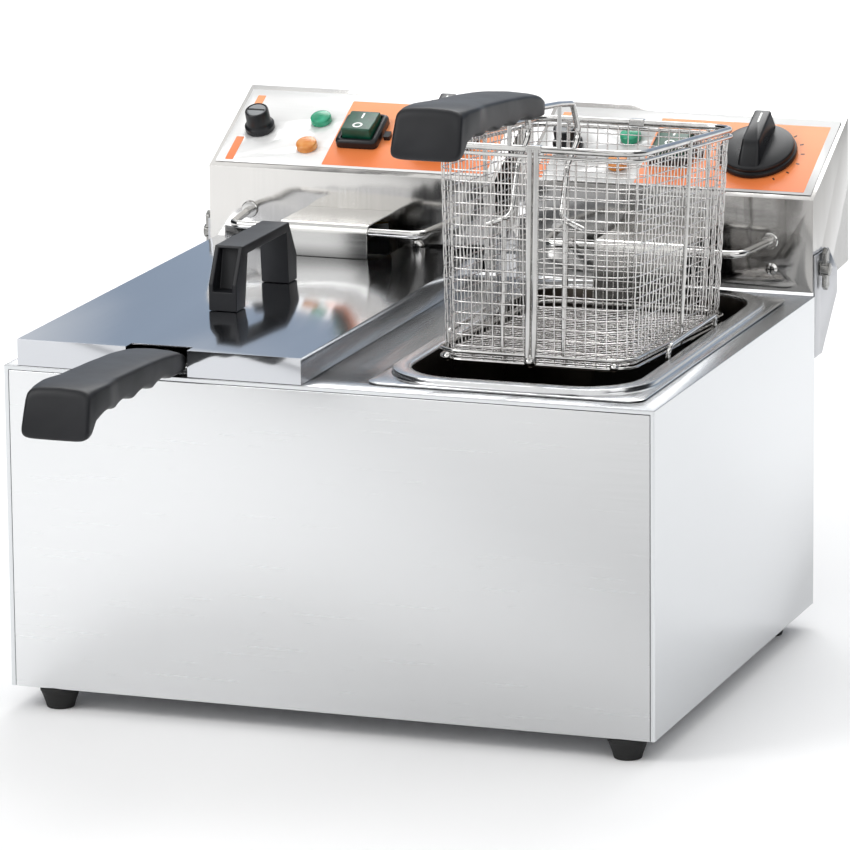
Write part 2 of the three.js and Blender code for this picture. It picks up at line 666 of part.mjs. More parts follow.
function basketFrame() {
  const { bottomHalf, topHalf, length, corner, rim, wire: thin, wireHalf, frontHeight } = BASKET;
  const out = thin / 2 + GAP + 0.1;
  const rimTop = hoop(topHalf, 0, length, (y) => rimHeight(y), rim, corner);
  const foot = hoop(bottomHalf + 0.4, 0, length, () => -out, thin, corner);
  const clip = block([-5, length - 3, rimHeight(length) - 2], [5, length + 3, rimHeight(length) + 3]);
  const stay = (from, to) => wire([from, to], thin);
  const sideStay = (side) => stay(
    [side * (topHalf + out), length / 2, rimHeight(length / 2)],
    [side * (bottomHalf + out), length / 2, -out],
  );
  const frontStay = (x) => stay([x, -out, rimHeight(0)], [x, -out, -out]);
  const rearStay = (x) => stay([x, length + out, rimHeight(length)], [x, length + out, -out]);
  // from the grip over the rim, down inside the front mesh, then outwards
  const hook = (side) => {
    const x = side * wireHalf;
    const z = GRIP.socket;
    return join(
      wire([
        [x, GRIP.tail - 30, z + 1.8], [x, -1, z - 2.2], [x, 27, z - 5], [x, 42, z - 27],
        [x, 18, z - 45], [x, 6, z - 78], [x + side * 16, 4, z - 84],
      ], 4, 10, 2),
      wire([[x, 0, z - 2.2], [x, 0, frontHeight]], thin, 1),
    );
  };
  const hanger = (side) => wire([
    [side * HANGER.x, length + out, HANGER.over], [side * HANGER.x, HANGER.behind, HANGER.over],
    [side * HANGER.x, HANGER.behind, HANGER.down],
  ], thin, 3, 2);
  return join(
    rimTop, foot, clip, sideStay(-1), sideStay(1), frontStay(-2.4), frontStay(2.4),
    ...[-50, 50].map(rearStay), hook(-1), hook(1), hanger(-1), hanger(1),
  );
}

// a flat-topped bar with a wide lip at its end and finger scallops under it
function grip() {
  const { end, tail, halfEnd, halfTail, socket, lip, scallops, pitch, scallopDepth } = GRIP;
  const first = end + 22;
  const under = (y) => socket - 0.5 - 5.5 * (y - first) / (tail - first);
  const fingers = Array.from({ length: scallops * 4 }, (_, i) => {
    const y = first + i * pitch / 4;
    return [y, under(y) + scallopDepth * Math.sin((i % 4) * PI / 4)];
  });
  const outline = [
    [end, lip], [end + 8, lip], [first - 7, socket - 2.5], ...fingers,
    [first + scallops * pitch, under(first + scallops * pitch)], [tail - 4, under(tail)],
    [tail, under(tail) + 4], [tail - 1, socket + 5.5], [tail - 12, socket + 11],
    [tail - 49, socket + 16.1], [tail - 106, socket + 19.7], [end + 29, socket + 20],
    [end + 6, socket + 18.5], [end, socket + 13.5],
  ];
  const plan = [
    [halfTail, tail + 9], [halfTail + 1, end + 62], [halfEnd - 0.3, end + 40], [halfEnd, end - 9],
  ];
  const mirroredPlan = plan.map(([x, y]) => [-x, y]).reverse();
  const body = common(prism(outline, -halfEnd, halfEnd), slab([...plan, ...mirroredPlan], 0, 300));
  const sockets = [-1, 1].map((side) => {
    const x = side * BASKET.wireHalf;
    return block([x - 2.6, tail - 32, socket - 3], [x + 2.6, tail + 9, socket + 5]);
  });
  return cut(body, ...sockets);
}

function basket(side, { y, z, tilt }) {
  const name = side < 0 ? 'left' : 'right';
  const group = new THREE.Group();
  group.position.set(side * TANK.x, y, z);
  group.rotation.x = THREE.MathUtils.degToRad(tilt);
  group.add(
    part(`${name}_basket_mesh`, basketTub(), wireSteel),
    part(`${name}_basket_frame`, basketFrame(), wireSteel),
    part(`${name}_basket_grip`, grip(), blackPlastic),
  );
  return group;
}

// ---------- the whole fryer ----------
const fryer = new THREE.Group();
fryer.position.y = -ORIGIN_DEPTH;
fryer.add(...casing(), ...feet(), ...brackets(), lid(), lidHandle());
for (const side of [-1, 1]) fryer.add(tank(side), bail(side, -1), bail(side, 1), wingScrew(side));
fryer.add(head(-1, 49.5), head(1, 78), basket(-1, IN_TANK), basket(1, HUNG));

export default fryer;
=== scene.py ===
"""The looks of a twin-tank counter-top deep fryer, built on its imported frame.

The scene is in metres: +X is right, +Y is back and +Z is up. Sizes are given in millimetres, as on
the real pieces, and MM turns them into metres.
"""
from __future__ import annotations

import json
import logging
import math
from dataclasses import dataclass
from enum import Enum
from typing import Callable, Sequence

import bmesh
import bpy
from mathutils import Matrix, Vector

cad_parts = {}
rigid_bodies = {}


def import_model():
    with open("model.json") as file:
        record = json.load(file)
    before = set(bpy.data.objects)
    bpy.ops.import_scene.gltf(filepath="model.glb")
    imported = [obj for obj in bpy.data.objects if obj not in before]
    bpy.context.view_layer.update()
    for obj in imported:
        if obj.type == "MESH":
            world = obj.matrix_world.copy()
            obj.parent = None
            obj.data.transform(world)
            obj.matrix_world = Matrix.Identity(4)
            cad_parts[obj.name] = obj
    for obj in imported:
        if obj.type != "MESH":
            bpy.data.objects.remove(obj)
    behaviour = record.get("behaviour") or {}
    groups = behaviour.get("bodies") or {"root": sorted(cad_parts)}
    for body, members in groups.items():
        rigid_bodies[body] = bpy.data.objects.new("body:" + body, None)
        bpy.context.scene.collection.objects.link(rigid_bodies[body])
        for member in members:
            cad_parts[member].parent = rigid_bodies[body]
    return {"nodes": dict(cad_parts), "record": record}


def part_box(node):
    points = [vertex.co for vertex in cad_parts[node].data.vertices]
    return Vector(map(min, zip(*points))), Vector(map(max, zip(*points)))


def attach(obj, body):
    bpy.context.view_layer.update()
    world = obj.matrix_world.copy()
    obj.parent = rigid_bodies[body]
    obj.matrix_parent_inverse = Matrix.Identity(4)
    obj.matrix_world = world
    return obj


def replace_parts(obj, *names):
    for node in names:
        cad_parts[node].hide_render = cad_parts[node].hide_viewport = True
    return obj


MM = 0.001
LOG = logging.getLogger("fryer")
Point = tuple[float, float, float]
Pair = tuple[float, float]
Colour = tuple[float, float, float, float]
BMesh = bmesh.types.BMesh
Mesh = bpy.types.Mesh
Node = bpy.types.Node
Socket = bpy.types.NodeSocket
Tree = bpy.types.NodeTree

NOISE_BAND = (0.3, 0.7)  # most of a noise texture lies between these
WEAR_BAND = (0.35, 0.75)
WHITE = (1.0, 1.0, 1.0, 1.0)
CALC = "ShaderNodeMath"
VECTOR = "ShaderNodeVectorMath"
JOIN = "GeometryNodeJoinGeometry"


# ---------- colours and nodes ----------
def linear(code: str) -> Colour:
    """Turn an sRGB hex colour into linear light.

    Args:
        code: six hex digits after a hash sign.

    Returns:
        Red, green, blue and an alpha of 1.
    """
    parts = [int(code[i:i + 2], 16) / 255 for i in (1, 3, 5)]
    red, green, blue = (c / 12.92 if c <= 0.04045 else ((c + 0.055) / 1.055) ** 2.4 for c in parts)
    return red, green, blue, 1.0


def fit(tree: Tree, node: Node, parts: dict) -> None:
    """Set a node's properties and inputs, and link what feeds it.

    Args:
        tree: the tree that the node is in.
        node: the node.
        parts: property names, or input names or numbers, each with its value, or with the socket
            or node that feeds it; a node stands for its first output, a list for several links.
    """
    for key, value in parts.items():
        for feed in value if isinstance(value, list) else [value]:
            if isinstance(feed, Node):
                feed = feed.outputs[0]
            if isinstance(feed, Socket):
                tree.links.new(feed, node.inputs[key])
            elif isinstance(key, int) or key in node.inputs:
                node.inputs[key].default_value = feed
            else:
                setattr(node, key, feed)


def add_node(
    tree: Tree, kind: str, parts: dict | None = None,
    stops: Sequence[tuple[float, Colour]] = (),
) -> Node:
    """Add a node with its settings and links.

    Args:
        tree: the node tree it goes into.
        kind: the node's type name.
        parts: its settings and links, as fit() takes them.
        stops: the places and colours of a colour ramp.

    Returns:
        The new node.
    """
    node = tree.nodes.new(kind)
    fit(tree, node, parts or {})
    if stops:
        marks = node.color_ramp.elements
        for mark, (place, colour) in zip(marks, (stops[0], stops[-1])):
            mark.position, mark.color = place, colour
        for place, colour in stops[1:-1]:
            marks.new(place).color = colour
    return node


class Grain(Enum):
    """Which way the rolling or brushing lines of a sheet run."""

    ALONG_X = (0.02, 1.0, 1.0)
    ALONG_Y = (1.0, 0.02, 1.0)
    ALONG_Z = (1.0, 1.0, 0.02)


@dataclass(frozen=True)
class Finish:
    """What every finish has: a name and the way to its material, which is made once."""

    name: str

    def material(self) -> bpy.types.Material:
        """Make this finish's material the first time, and find it after that.

        Returns:
            The material.
        """
        made = bpy.data.materials.get(self.name)
        if made is None:
            made = bpy.data.materials.new(self.name)
            made.use_nodes = True
            tree = made.node_tree
            place = add_node(tree, "ShaderNodeTexCoord").outputs["Object"]
            fit(tree, tree.nodes["Principled BSDF"], self.dress(tree, place))
        return made

    def dress(self, tree: Tree, place: Socket) -> dict:
        """Add the finish's pattern; each finish has its own.

        Args:
            tree: the material's node tree.
            place: the piece's Object coordinates.

        Returns:
            The shader's inputs, as fit() takes them.
        """
        raise NotImplementedError


@dataclass(frozen=True)
class SheetSteel(Finish):
    """Cold-rolled stainless sheet. The rolls leave faint parallel lines that stretch a reflection
    across them, and the sheet is never quite flat, so large reflections sway a little."""

    colour: str = "#dddee0"
    roughness: float = 0.16
    spread: float = 0.06
    grain: Grain = Grain.ALONG_X
    line_mm: float = 1.6  # real lines are 0.1 mm apart: drawn coarser so that they show
    wave_mm: float = 170.0
    wave: float = 0.05
    streak: float = 0.06  # how much darker the darkest line is
    metal: float = 1.0  # less under a clear or white lacquer
    # a slow fall of tone across the sheet, from one point towards another: where, which way, how
    # much; on the front, the heads, the cover plate and the panel foil it is painted shade
    bright_at: Point = (0.0, 0.0, 0.0)
    dark_at: Point = (1.0, 0.0, 0.0)
    fade: float = 0.0
    wave_depth_mm: float = 8.0
    line_depth_mm: float = 0.05
    line_strength: float = 0.05

    def dress(self, tree: Tree, place: Socket) -> dict:
        """Brushed roughness, faint tone changes and a slow wave in the sheet."""
        lines, sway = (
            add_node(tree, "ShaderNodeTexNoise", {
                "Scale": 1.0, "Detail": detail, "Vector": add_node(tree, "ShaderNodeMapping", {
                    "Scale": tuple(s ** power / (size * MM) for s in self.grain.value),
                    "Vector": place,
                }),
            }) for detail, power, size in ((3.0, 1.0, self.line_mm), (1.0, 0.5, self.wave_mm))
        )
        low, high = NOISE_BAND
        rough = add_node(tree, "ShaderNodeMapRange", {
            "From Min": low, "From Max": high, "To Min": self.roughness - self.spread / 2,
            "To Max": self.roughness + self.spread / 2, "Value": lines,
        })
        light = linear(self.colour)
        dark = tuple(c * (1.0 - self.streak) for c in light[:3]) + (1.0,)
        tone = add_node(tree, "ShaderNodeValToRGB", {"Fac": lines}, ((low, dark), (high, light)))
        slow = add_node(tree, "ShaderNodeBump", {
            "Strength": self.wave, "Distance": self.wave_depth_mm * MM, "Height": sway,
        })
        fine = add_node(tree, "ShaderNodeBump", {
            "Strength": self.line_strength, "Distance": self.line_depth_mm * MM, "Height": lines,
            "Normal": slow,
        })
        # the slow fall of tone across the sheet: painted shade where light falls off across a face
        start = Vector(self.bright_at)
        way = Vector(self.dark_at) - start
        way /= way.length_squared
        across = add_node(tree, VECTOR, {"operation": "DOT_PRODUCT", 0: place, 1: tuple(way)})
        shade = add_node(tree, "ShaderNodeMapRange", {
            "interpolation_type": "SMOOTHSTEP", "From Min": start.dot(way),
            "From Max": start.dot(way) + 1.0, "To Min": 1.0, "To Max": 1.0 - self.fade,
            "Value": across.outputs["Value"],
        })
        shaded = add_node(tree, VECTOR, {"operation": "SCALE", 0: tone, "Scale": shade})
        return {"Metallic": self.metal, "Base Color": shaded, "Roughness": rough, "Normal": fine}


@dataclass(frozen=True)
class SpottedMetal(Finish):
    """Metal with an even skin that is stained or dulled in soft spots, such as bright wire,
    oxidised sheath, brass, or a tank wall with a film of old oil and its deep shade painted in."""

    colour: str
    stain: str
    roughness: float
    dull: float
    spot_mm: float
    stained: float  # where on the noise the stain starts
    edge: float = 0.15  # how soft the stain's edge is, on the noise

    def dress(self, tree: Tree, place: Socket) -> dict:
        """Two tones and two roughnesses, mixed by one soft noise."""
        spots = add_node(tree, "ShaderNodeTexNoise", {
            "Scale": 1 / (self.spot_mm * MM), "Detail": 4.0, "Roughness": 0.6, "Vector": place,
        })
        low, high = self.stained - self.edge, self.stained + self.edge
        tone = add_node(tree, "ShaderNodeValToRGB", {"Fac": spots}, (
            (low, linear(self.colour)), (high, linear(self.stain)),
        ))
        rough = add_node(tree, "ShaderNodeMapRange", {
            "From Min": low, "From Max": high, "To Min": self.roughness, "To Max": self.dull,
            "Value": spots,
        })
        return {"Metallic": 1.0, "Base Color": tone, "Roughness": rough}


@dataclass(frozen=True)
class MouldedPlastic(Finish):
    """Injection-moulded plastic or rubber. A spark-eroded mould leaves a fine even grain that
    breaks up highlights, and handling polishes it a little in places."""

    colour: str
    worn: str
    roughness: float
    grain_mm: float = 0.9  # real grain is 0.1 mm: drawn coarser so that it shows
    depth: float = 0.25
    ior: float = 1.5
    gloss: float = 0.5
    wear_mm: float = 30.0
    polish: float = 0.08  # how much smoother a worn place is

    def dress(self, tree: Tree, place: Socket) -> dict:
        """Grain as bump, wear as a slow change of tone and gloss."""
        grain, wear = (
            add_node(tree, "ShaderNodeTexNoise", {
                "Scale": 1 / (size * MM), "Detail": detail, "Vector": place,
            }) for size, detail in ((self.grain_mm, 2.0), (self.wear_mm, 3.0))
        )
        low, high = WEAR_BAND
        tone = add_node(tree, "ShaderNodeValToRGB", {"Fac": wear}, (
            (low, linear(self.colour)), (high, linear(self.worn)),
        ))
        rough = add_node(tree, "ShaderNodeMapRange", {
            "From Min": low, "From Max": high, "To Min": self.roughness,
            "To Max": self.roughness - self.polish, "Value": wear,
        })
        bump = add_node(tree, "ShaderNodeBump", {
            "Strength": self.depth, "Distance": 0.1 * MM, "Height": grain,
        })
        return {
            "IOR": self.ior, "Specular IOR Level": self.gloss, "Base Color": tone,
            "Roughness": rough, "Normal": bump,
        }


@dataclass(frozen=True)
class ClearPlastic(Finish):
    """Tinted acrylic or polycarbonate: deep colour inside, a hard glossy skin outside."""

    colour: str
    depth_colour: str
    roughness: float
    clear: float
    swirl_mm: float = 6.0
    coat: float = 0.05
    ior: float = 1.49

    def dress(self, tree: Tree, place: Socket) -> dict:
        """Slow swirls of thicker and thinner colour, with a glossy coat."""
        flow = add_node(tree, "ShaderNodeTexNoise", {
            "Scale": 1 / (self.swirl_mm * MM), "Detail": 1.0, "Vector": place,
        })
        tone = add_node(tree, "ShaderNodeValToRGB", {"Fac": flow}, (
            (NOISE_BAND[0], linear(self.depth_colour)), (NOISE_BAND[1], linear(self.colour)),
        ))
        bump = add_node(tree, "ShaderNodeBump", {
            "Strength": 0.06, "Distance": 0.2 * MM, "Height": flow,
        })
        return {
            "Roughness": self.roughness, "IOR": self.ior, "Transmission Weight": self.clear,
            "Coat Weight": self.coat, "Base Color": tone, "Normal": bump,
        }


@dataclass(frozen=True)
class PrintedInk(Finish):
    """Screen-printed ink on satin foil: flat colour, a little darker towards the panel's lower
    edge, with the faint orange peel of the lacquer over it."""

    colour: str
    # the colour at the panel's lower edge, where the tone is a little darker
    thick: str
    low_z: float = 0.305
    high_z: float = 0.335
    roughness: float = 0.34
    peel_mm: float = 1.5

    def dress(self, tree: Tree, place: Socket) -> dict:
        """A gradient up the panel and a fine lacquer bump."""
        split = add_node(tree, "ShaderNodeSeparateXYZ", {"Vector": place})
        height = add_node(tree, "ShaderNodeMapRange", {
            "From Min": self.low_z, "From Max": self.high_z, "Value": split.outputs["Z"],
        })
        tone = add_node(tree, "ShaderNodeValToRGB", {"Fac": height}, (
            (0.0, linear(self.thick)), (1.0, linear(self.colour)),
        ))
        peel = add_node(tree, "ShaderNodeTexNoise", {
            "Scale": 1 / (self.peel_mm * MM), "Detail": 1.0, "Vector": place,
        })
        bump = add_node(tree, "ShaderNodeBump", {
            "Strength": 0.08, "Distance": 0.05 * MM, "Height": peel,
        })
        return {"Roughness": self.roughness, "Base Color": tone, "Normal": bump}


# 430 stainless, bright annealed: nearly a mirror, soft at the edges, with a darker tone on the deck
CASING_STEEL = SheetSteel(
    "bright_rolled_stainless", "#dcdee0", 0.24, 0.03, Grain.ALONG_Y, streak=0.03,
    bright_at=(0.0, 0.0, 0.2332), dark_at=(0.0, 0.0, 0.2346), fade=0.5,
)
# the front is the same sheet; its tone falls off across the face towards the lower right, painted
# shade where the light falls off
FRONT_STEEL = SheetSteel(
    "bright_rolled_front", "#e6e7e8", 0.26, 0.03, Grain.ALONG_X, wave=0.03, streak=0.02,
    bright_at=(-0.1, -0.148, 0.24), dark_at=(0.26, -0.148, -0.02), fade=0.32,
)
# the lid is polished after folding, so it mirrors what stands behind it
LID_STEEL = SheetSteel(
    "polished_stainless_lid", "#cfd1d5", 0.1, 0.012, Grain.ALONG_Y, wave=0.03, streak=0.015,
)
# the heads are bent from the same sheet and handled more: warmer and wavier; their tone falls off
# towards the right, painted shade where the light falls off
HEAD_STEEL = SheetSteel(
    "bent_stainless_head", "#dcdad7", 0.12, 0.04, Grain.ALONG_Z, wave_mm=26, wave=0.07,
    streak=0.04, bright_at=(-0.2, 0.0, 0.0), dark_at=(0.06, 0.0, 0.0), fade=0.42,
)
# the plate over the element's ends is brushed across; below the deck its tone is painted darker,
# painted shade and painted reflection of the dark tank
COVER_STEEL = SheetSteel(
    "brushed_cover_plate", "#e0dfdc", 0.22, 0.03, Grain.ALONG_X, wave=0.02, streak=0.02,
    bright_at=(0.0, 0.0, 0.264), dark_at=(0.0, 0.0, 0.249), fade=0.74,
)
# satin sheet where nobody looks: back, base and brackets
SATIN_STEEL = SheetSteel("satin_stainless", "#c4c5c8", 0.34, 0.1, Grain.ALONG_X)
# deep-drawn tank rim: bright, with drawn lines along it
TANK_STEEL = SheetSteel("deep_drawn_stainless", "#d2d3d4", 0.2, 0.08, Grain.ALONG_Y)
# the same steel below the rim, under a film of browned oil, and drawn much darker: the tank's deep
# shade painted in
OILED_SHADED_STEEL = SpottedMetal("oil_filmed_stainless", "#6b655e", "#4c463f", 0.24, 0.4, 60.0, 0.5)
# bright nickel-chrome plate on drawn wire: sharp highlights, slightly dulled by heat
WIRE_STEEL = SpottedMetal("plated_wire", "#d3d2d0", "#b9b8b6", 0.1, 0.17, 18.0, 0.6)
# the wing screws are zinc-plated and duller
ZINC_STEEL = SpottedMetal("zinc_plate", "#a5a5a3", "#7f7e7b", 0.22, 0.34, 9.0, 0.5)
# the woven wire is tinned: paler, with softer highlights
MESH_STEEL = SpottedMetal("tinned_mesh_wire", "#e6e4e2", "#c9c7c5", 0.18, 0.26, 25.0, 0.6)
# heating element sheath: oxidised stainless, straw to grey
ELEMENT_STEEL = SpottedMetal("oxidised_sheath", "#8d8a86", "#6c5f50", 0.38, 0.5, 12.0, 0.5)
# thermostat bodies and bulbs: turned brass and drawn copper, tarnished
BRASS = SpottedMetal("tarnished_brass", "#c9a55c", "#8f6f3a", 0.3, 0.45, 9.0, 0.55)
# heat-proof phenolic moulding: black, with a fine matt grain
BLACK_PLASTIC = MouldedPlastic("moulded_black_phenolic", "#121317", "#1a1b1f", 0.48, gloss=0.36)
# control knobs are smoother, from a polished mould
KNOB_PLASTIC = MouldedPlastic(
    "smooth_black_nylon", "#121316", "#1b1d20", 0.34, 0.9, 0.1, gloss=0.34,
)
# the reset button is grey nylon
GREY_PLASTIC = MouldedPlastic("grey_nylon", "#7f8285", "#8d9092", 0.4, 0.9, 0.1)
# feet: black rubber, quite matt; the same black paints the shade in the screws' cross recesses and
# in the reset button's slot
BLACK_RUBBER_AND_SHADE = MouldedPlastic("black_rubber", "#141517", "#202124", 0.72, 1.4, 0.4, 1.52)
# rocker and pilot lenses: tinted polycarbonate
SWITCH_GREEN = ClearPlastic("green_switch_cap", "#07503a", "#053f2e", 0.42, 0.0)
LAMP_GREEN = ClearPlastic("green_pilot_lens", "#3fb48d", "#1f8f69", 0.22, 0.1)
LAMP_AMBER = ClearPlastic("amber_pilot_lens", "#e9a45c", "#dc7f2e", 0.22, 0.1)
# screen-printed inks
ORANGE_INK = PrintedInk("orange_panel_ink", "#ef9a63", "#ea7a3c")
DARK_INK = PrintedInk("dark_dial_ink", "#4b3a33", "#3a2c27")
WHITE_INK = PrintedInk("white_switch_mark", "#eef1ee", "#e2e6e2")
# the foil itself: satin and pale, as brushed aluminium laminate; its tone falls off towards the
# right, painted shade where the light falls off
PANEL_FOIL = SheetSteel(
    "satin_panel_foil", "#f4f4f3", 0.42, 0.03, Grain.ALONG_X, wave=0.0, streak=0.02, metal=0.3,
    bright_at=(-0.08, 0.0, 0.0), dark_at=(0.12, 0.0, 0.0), fade=0.42,
)


# ---------- meshes ----------
def plain_object(name: str, mesh: Mesh) -> bpy.types.Object:
    """Link a mesh into the scene as an object at the origin."""
    made = bpy.data.objects.new(name, mesh)
    bpy.context.scene.collection.objects.link(made)
    return made


def baked(working: bpy.types.Object) -> Mesh:
    """Turn an object's evaluated shape into a plain mesh and remove the object.

    Args:
        working: an object with modifiers.

    Returns:
        The finished mesh, with no modifier left.
    """
    graph = bpy.context.evaluated_depsgraph_get()
    mesh = bpy.data.meshes.new_from_object(working.evaluated_get(graph))
    old = working.data
    bpy.data.objects.remove(working)
    bpy.data.meshes.remove(old)
    return mesh


def written(work: BMesh) -> Mesh:
    """Write a bmesh to a new mesh and free it."""
    mesh = bpy.data.meshes.new("work")
    work.to_mesh(mesh)
    work.free()
    return mesh


def mesh_of(work: BMesh, smooth_below: float = 35.0) -> Mesh:
    """Write a bmesh to a mesh that is smooth except at its sharper edges.

    Args:
        work: the bmesh, which is freed.
        smooth_below: edges that turn less than this, in degrees, are smooth.

    Returns:
        The mesh.
    """
    work.normal_update()
    limit = math.radians(smooth_below)
    for face in work.faces:
        face.smooth = True
    for edge in work.edges:
        edge.smooth = len(edge.link_faces) == 2 and edge.calc_face_angle(0.0) < limit
    return written(work)


def outwards(mesh: Mesh, smooth_below: float) -> Mesh:
    """Turn a mesh's faces outwards, and smooth it.

    Args:
        mesh: the mesh, which is used up.
        smooth_below: edges that turn less than this, in degrees, are smooth.

    Returns:
        The new mesh.
    """
    work = bmesh.new()
    work.from_mesh(mesh)
    bmesh.ops.recalc_face_normals(work, faces=work.faces)
    bpy.data.meshes.remove(mesh)
    return mesh_of(work, smooth_below)


def join(meshes: Sequence[Mesh]) -> Mesh:
    """Put several finished meshes into one, each keeping its materials.

    Args:
        meshes: the meshes, which are used up.

    Returns:
        The one mesh.
    """
    work = bmesh.new()
    finishes: list[bpy.types.Material] = []
    for mesh in meshes:
        start = len(work.faces)
        work.from_mesh(mesh)
        work.faces.ensure_lookup_table()
        for face in work.faces[start:]:
            finish = mesh.materials[face.material_index]
            if finish not in finishes:
                finishes.append(finish)
            face.material_index = finishes.index(finish)
    joined = written(work)
    for finish in finishes:
        joined.materials.append(finish)
    for mesh in meshes:
        bpy.data.meshes.remove(mesh)
    return joined


def painted(mesh: Mesh, finish: Finish) -> Mesh:
    """Give a mesh one finish all over."""
    mesh.materials.clear()
    mesh.materials.append(finish.material())
    return mesh


def loft(rings: Sequence[Sequence[Vector]]) -> BMesh:
    """Skin successive rings of points that all have the same count, and fill in both ends.

    Args:
        rings: the rings, in order; walking a ring anticlockwise about the way the rings go
            makes the faces point outwards.

    Returns:
        The skin.
    """
    work = bmesh.new()
    rows = [[work.verts.new(p) for p in ring] for ring in rings]
    for low, high in zip(rows, rows[1:]):
        for i, j in zip(range(len(low)), [*range(1, len(low)), 0]):
            work.faces.new((low[i], low[j], high[j], high[i]))
    work.faces.new(rows[0][::-1])
    work.faces.new(rows[-1])
    return work


def rounded_ring(
    half_x: float, half_y: float, radius: float, z: float, steps: int, back: float = 0.0,
) -> list[Vector]:
    """A rounded rectangle in a level plane, walked anticlockwise, given in millimetres.

    Args:
        half_x: half its width.
        half_y: half its depth.
        radius: the corner radius.
        z: its height.
        steps: how many steps each corner has.
        back: how far back its middle is.

    Returns:
        The points of the ring, in metres.
    """
    points = []
    for quarter, (sx, sy) in enumerate(((1, 1), (-1, 1), (-1, -1), (1, -1))):
        for i in range(steps + 1):
            angle = (quarter + i / steps) * math.pi / 2
            points.append(Vector((
                sx * (half_x - radius) + radius * math.cos(angle),
                back + sy * (half_y - radius) + radius * math.sin(angle), z,
            )) * MM)
    return points


def plate(
    half_x: float, half_y: float, radius: float, heights: Sequence[float], steps: int,
) -> Mesh:
    """A rounded plate between heights, about the origin, given in millimetres."""
    return mesh_of(loft([rounded_ring(half_x, half_y, radius, z, steps) for z in heights]))


def turned(profile: Sequence[Pair], sides: int, smooth_below: float = 35.0) -> Mesh:
    """A solid of revolution about Z.

    Args:
        profile: radius and height pairs in millimetres, up the outside.
        sides: how many sides it has.
        smooth_below: edges that turn less than this, in degrees, are smooth.

    Returns:
        The closed solid.
    """
    angles = [2 * math.pi * i / sides for i in range(sides)]
    return mesh_of(loft([
        [Vector((r * math.cos(a), r * math.sin(a), z)) * MM for a in angles] for r, z in profile
    ]), smooth_below)


def moved(mesh: Mesh, place: Matrix) -> Mesh:
    """Move a mesh's points by a matrix."""
    mesh.transform(place)
    mesh.update()
    return mesh


def eased(
    mesh: Mesh, width_mm: float, segments: int, angle: float = 28.0,
) -> Mesh:
    """Round a mesh's edges off, with its flat faces kept flat to the eye.

    Args:
        mesh: the mesh, which is used up.
        width_mm: the bevel's width.
        segments: how many steps the bevel has.
        angle: edges sharper than this, in degrees, are rounded.

    Returns:
        The rounded mesh.
    """
    working = plain_object("easing", mesh)
    for face in mesh.polygons:
        face.use_smooth = True
    bevel = working.modifiers.new("eased_edges", "BEVEL")
    bevel.width, bevel.segments = width_mm * MM, segments
    bevel.limit_method, bevel.angle_limit = "ANGLE", math.radians(angle)
    bevel.use_clamp_overlap, bevel.harden_normals = True, True
    return baked(working)


def smooth_step(t: float) -> float:
    """An even run from 0 to 1 that starts and stops softly, for t from 0 to 1."""
    t = min(max(t, 0.0), 1.0)
    return t * t * (3 - 2 * t)


def curve_through(knots: Sequence[Pair], at: float) -> float:
    """A smooth monotone curve through knots.

    Args:
        knots: place and value pairs, in order of place.
        at: where to read it.

    Returns:
        The value there.
    """
    if at <= knots[0][0]:
        return knots[0][1]
    slopes = [(b[1] - a[1]) / (b[0] - a[0]) for a, b in zip(knots, knots[1:])]
    bends = [slopes[0]] + [
        0.0 if a * b <= 0 else 2 * a * b / (a + b) for a, b in zip(slopes, slopes[1:])
    ] + [slopes[-1]]
    for i, (a, b) in enumerate(zip(knots, knots[1:])):
        if at <= b[0]:
            width = b[0] - a[0]
            t = (at - a[0]) / width
            return (
                a[1] * (1 + 2 * t) * (1 - t) ** 2 + b[1] * t * t * (3 - 2 * t)
                + bends[i] * width * t * (1 - t) ** 2 - bends[i + 1] * width * t * t * (1 - t)
            )
    return knots[-1][1]


class Row:
    """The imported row: its nodes, and how finished pieces take their places."""

    nodes: dict[str, bpy.types.Object] = {}
    bodies: dict[str, str] = {}
    slots: dict[str, str] = {}

    @classmethod
    def load(cls) -> None:
        """Load the frame and note each node's body and material slot."""
        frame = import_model()
        record = frame["record"]
        cls.nodes = frame["nodes"]
        cls.bodies = {n: b for b, members in record["behaviour"]["bodies"].items() for n in members}
        cls.slots = {s["node"]: s["material_slot"] for s in record["subparts"]}

    @classmethod
    def copy(cls, node: str) -> Mesh:
        """Copy a node's mesh, with its loose triangles merged into clean faces.

        Args:
            node: the node's name.

        Returns:
            The copy.
        """
        work = bmesh.new()
        work.from_mesh(cls.nodes[node].data)
        bmesh.ops.remove_doubles(work, verts=work.verts, dist=0.002 * MM)
        bmesh.ops.dissolve_limit(
            work, angle_limit=math.radians(0.5), verts=work.verts, edges=work.edges,
        )
        return written(work)

    @classmethod
    def stand_in(cls, name: str, mesh: Mesh, node: str) -> None:
        """Put a finished mesh in the place of a CAD node, on its body."""
        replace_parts(cls.addition(name, mesh, node), node)

    @classmethod
    def addition(cls, name: str, mesh: Mesh, beside: str) -> bpy.types.Object:
        """Add a finished mesh that rides with a node.

        Args:
            name: the piece's name.
            mesh: its mesh, with its materials.
            beside: the node that it rides with.

        Returns:
            The piece.
        """
        mesh.name = name
        piece = plain_object(name, mesh)
        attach(piece, cls.bodies[beside])
        LOG.info("%s: %d faces, rides on %s", name, len(mesh.polygons), cls.bodies[beside])
        return piece

    @classmethod
    def ease(
        cls, finish: Finish, width_mm: float, segments: int, *nodes: str, angle: float = 28.0,
    ) -> None:
        """Replace nodes by their own shapes with rounded edges and a finish.

        Args:
            finish: the finish.
            width_mm: the width of the rounding.
            segments: how many steps it has.
            nodes: the nodes' names.
            angle: edges sharper than this, in degrees, are rounded.
        """
        for node in nodes:
            mesh = painted(eased(cls.copy(node), width_mm, segments, angle), finish)
            cls.stand_in(f"{node}_finished", mesh, node)


